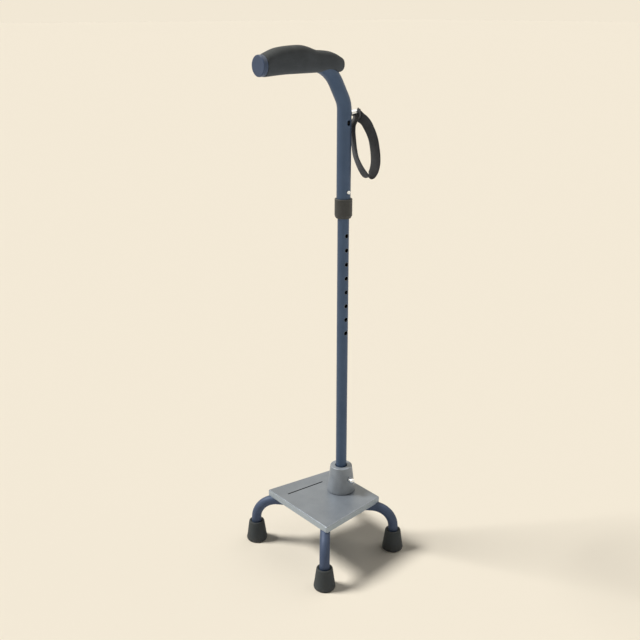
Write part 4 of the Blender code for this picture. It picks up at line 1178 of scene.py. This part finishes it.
# Each row of the course is the webbing's centre past the inner layer at the pin, then
# the turn of its width about the vertical and the rise of its far edge, in degrees.
STRAP_WIDTH = 0.0190
STRAP_THICKNESS = 0.0018
PIN_END = 0.0248         # the sleeve's end, from the shaft's axis
STRAP_SEAT = 0.0260
STRAP_LAP = STRAP_THICKNESS + GAP
STRAP_COURSE = (
    (0.0000, 0.0010, 0.0036, 0, -15),
    (0.0000, 0.0000, 0.0000, 0, -15),
    (0.0000, -0.0013, -0.0050, 0, -15),
    (-0.0006, -0.0016, -0.0066, 0, -14),
    (-0.0021, -0.0018, -0.0087, -1, -13),
    (-0.0046, -0.0018, -0.0112, -3, -11),
    (-0.0078, -0.0016, -0.0150, -5, -8),
    (-0.0101, -0.0014, -0.0197, -8, -4),
    (-0.0104, -0.0016, -0.0277, -11, -2),
    (-0.0093, -0.0023, -0.0379, -14, 0),
    (-0.0065, -0.0023, -0.0531, -17, 0),
    (-0.0030, -0.0020, -0.0671, -15, 0),
    (0.0005, -0.0031, -0.0767, -12, 0),
    (0.0050, -0.0048, -0.0865, -8, -2),
    (0.0095, -0.0076, -0.0953, -4, -6),
    (0.0150, -0.0104, -0.1021, 0, -8),
    (0.0195, -0.0140, -0.1012, 4, -6),
    (0.0230, -0.0176, -0.0931, 7, -3),
    (0.0250, -0.0191, -0.0816, 9, 0),
    (0.0250, -0.0189, -0.0683, 10, 0),
    (0.0240, -0.0179, -0.0567, 10, 0),
    (0.0215, -0.0171, -0.0437, 11, 0),
    (0.0185, -0.0155, -0.0338, 13, -5),
    (0.0145, -0.0139, -0.0249, 13, -15),
    (0.0100, -0.0123, -0.0167, 12, -24),
    (0.0060, -0.0097, -0.0111, 8, -34),
    (0.0035, -0.0066, -0.0084, 4, -44),
    (STRAP_LAP + 0.0003, -0.0034, -0.0058, 1, -50),
    (STRAP_LAP, -0.0008, -0.0044, 0, -52),
    (STRAP_LAP, 0.0018, -0.0024, 0, -52),
    (STRAP_LAP, 0.0046, -0.0002, 0, -52),
)
EDGE_THICKNESS = (0.55, 0.45)    # share of it at the edges, and what the middle adds
EDGE_POWER = 10          # how sharply the thickness drops at the edges
PUNCH = (-0.003, 0.009)  # span of the punch through both ends, from the sleeve's end
PICK = 0.0009            # length of webbing between two crossings of the weave
YARNS = 20               # crossings over its width
YARN_HEIGHT = 0.00009
WARP_PITCH = 0.00095
WEFT_PITCH = 0.0018
UV_UNIT = 0.01           # metres of webbing to one unit of its UV


def strap_line():
    """Centres and width directions of the webbing, one pick apart along its course."""
    fine = []
    for x, y, z, turn, rise in eased(STRAP_COURSE, 24):
        turn, rise = math.radians(turn), math.radians(rise)
        level = math.cos(rise)
        width = Vector((-math.sin(turn) * level, math.cos(turn) * level, math.sin(rise)))
        fine.append((Vector((SHAFT_X + STRAP_SEAT + x, y, PIN_Z + z)), width))
    run = [0.0]
    for (before, _), (after, _) in zip(fine, fine[1:]):
        run.append(run[-1] + (after - before).length)
    count = round(run[-1] / PICK)
    line, n = [], 0
    for step in range(count + 1):
        target = run[-1] * step / count
        while n < len(run) - 2 and run[n + 1] < target:
            n += 1
        share = (target - run[n]) / (run[n + 1] - run[n])
        line.append([a.lerp(b, share) for a, b in zip(fine[n], fine[n + 1])])
    return line, run[-1]


line, strap_length = strap_line()
strap_mesh = bmesh.new()
uv = strap_mesh.loops.layers.uv.new("weave")
strap_rings = []
last = len(line) - 1
for n, (centre, width) in enumerate(line):
    along = (line[min(n + 1, last)][0] - line[max(n - 1, 0)][0]).normalized()
    across = (width - width.dot(along) * along).normalized()
    face = along.cross(across)
    ring = []
    for side in (1, -1):
        for yarn in range(YARNS + 1):
            place = side * (yarn / YARNS - 0.5)
            inset = 1 - (2 * abs(place)) ** EDGE_POWER
            thick = STRAP_THICKNESS / 2 * (EDGE_THICKNESS[0] + EDGE_THICKNESS[1] * inset)
            if 0 < yarn < YARNS:
                thick += YARN_HEIGHT * (1 if (n + yarn) % 2 else -1)
            ring.append((strap_mesh.verts.new(
                centre + across * place * STRAP_WIDTH + side * face * thick),
                side * place * STRAP_WIDTH))
    strap_rings.append(ring)
points = len(strap_rings[0])
for n, (ring, following) in enumerate(zip(strap_rings, strap_rings[1:])):
    for point in range(points):
        after = (point + 1) % points
        quad = strap_mesh.faces.new((ring[point][0], ring[after][0],
                                     following[after][0], following[point][0]))
        for loop, (u, v) in zip(quad.loops, (
                (ring[point][1], n), (ring[after][1], n),
                (ring[after][1], n + 1), (ring[point][1], n + 1))):
            loop[uv].uv = (u / UV_UNIT, v * PICK / UV_UNIT)
strap_mesh.faces.new([vert for vert, _ in reversed(strap_rings[0])])
strap_mesh.faces.new([vert for vert, _ in strap_rings[-1]])
bmesh.ops.recalc_face_normals(strap_mesh, faces=strap_mesh.faces)
strap_data = bpy.data.meshes.new("wrist_strap_webbing")
strap_mesh.to_mesh(strap_data)
strap_mesh.free()
strap = bpy.data.objects.new("wrist_strap_webbing", strap_data)
scene.collection.objects.link(strap)
punch = [(SHAFT_X + PIN_END + x, 0, PIN_Z) for x in PUNCH]
cut(strap, rods((*punch, PIN_HOLE_R)))
smooth(strap, 60)

webbing = new_finish("webbing", (57, 57, 57), 0.82, Sheen_Weight=0.2, Sheen_Roughness=0.5)
uv_node = add(webbing, "UVMap")
uv_node.uv_map = "weave"
over, under = [add(webbing, "SeparateXYZ", Vector=uv_node.outputs["UV"]).outputs[a]
               for a in ("X", "Y")]
warp = figure(webbing, "SINE", times(webbing, over, 2 * math.pi * UV_UNIT / WARP_PITCH))
weft = figure(webbing, "SINE", times(webbing, under, 2 * math.pi * UV_UNIT / WEFT_PITCH))
weave = times(webbing, warp, weft)
fibre = mottle(webbing, 0.0003, 2)
# The weave's crossings are painted lighter and its dips darker, as painted light and shade on
# the yarns.
web_tone = shift(webbing, span(webbing, weave, -0.8, 0.8), (47, 47, 47), (66, 66, 66))
web_tone = tint(webbing, web_tone, patches(webbing, 0.009, 3, 0.42, 0.70), 0.25, (84, 84, 82))
give(webbing, "Base Color", web_tone)
give(webbing, "Roughness", span(webbing, fibre, 0.3, 0.7, 0.74, 0.90))
yarns = relief(webbing, weave, 0.00008)
give(webbing, "Normal", relief(webbing, fibre, 0.00003, yarns))
dress(strap, webbing)
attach(strap, "strap")
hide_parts("wrist_strap")
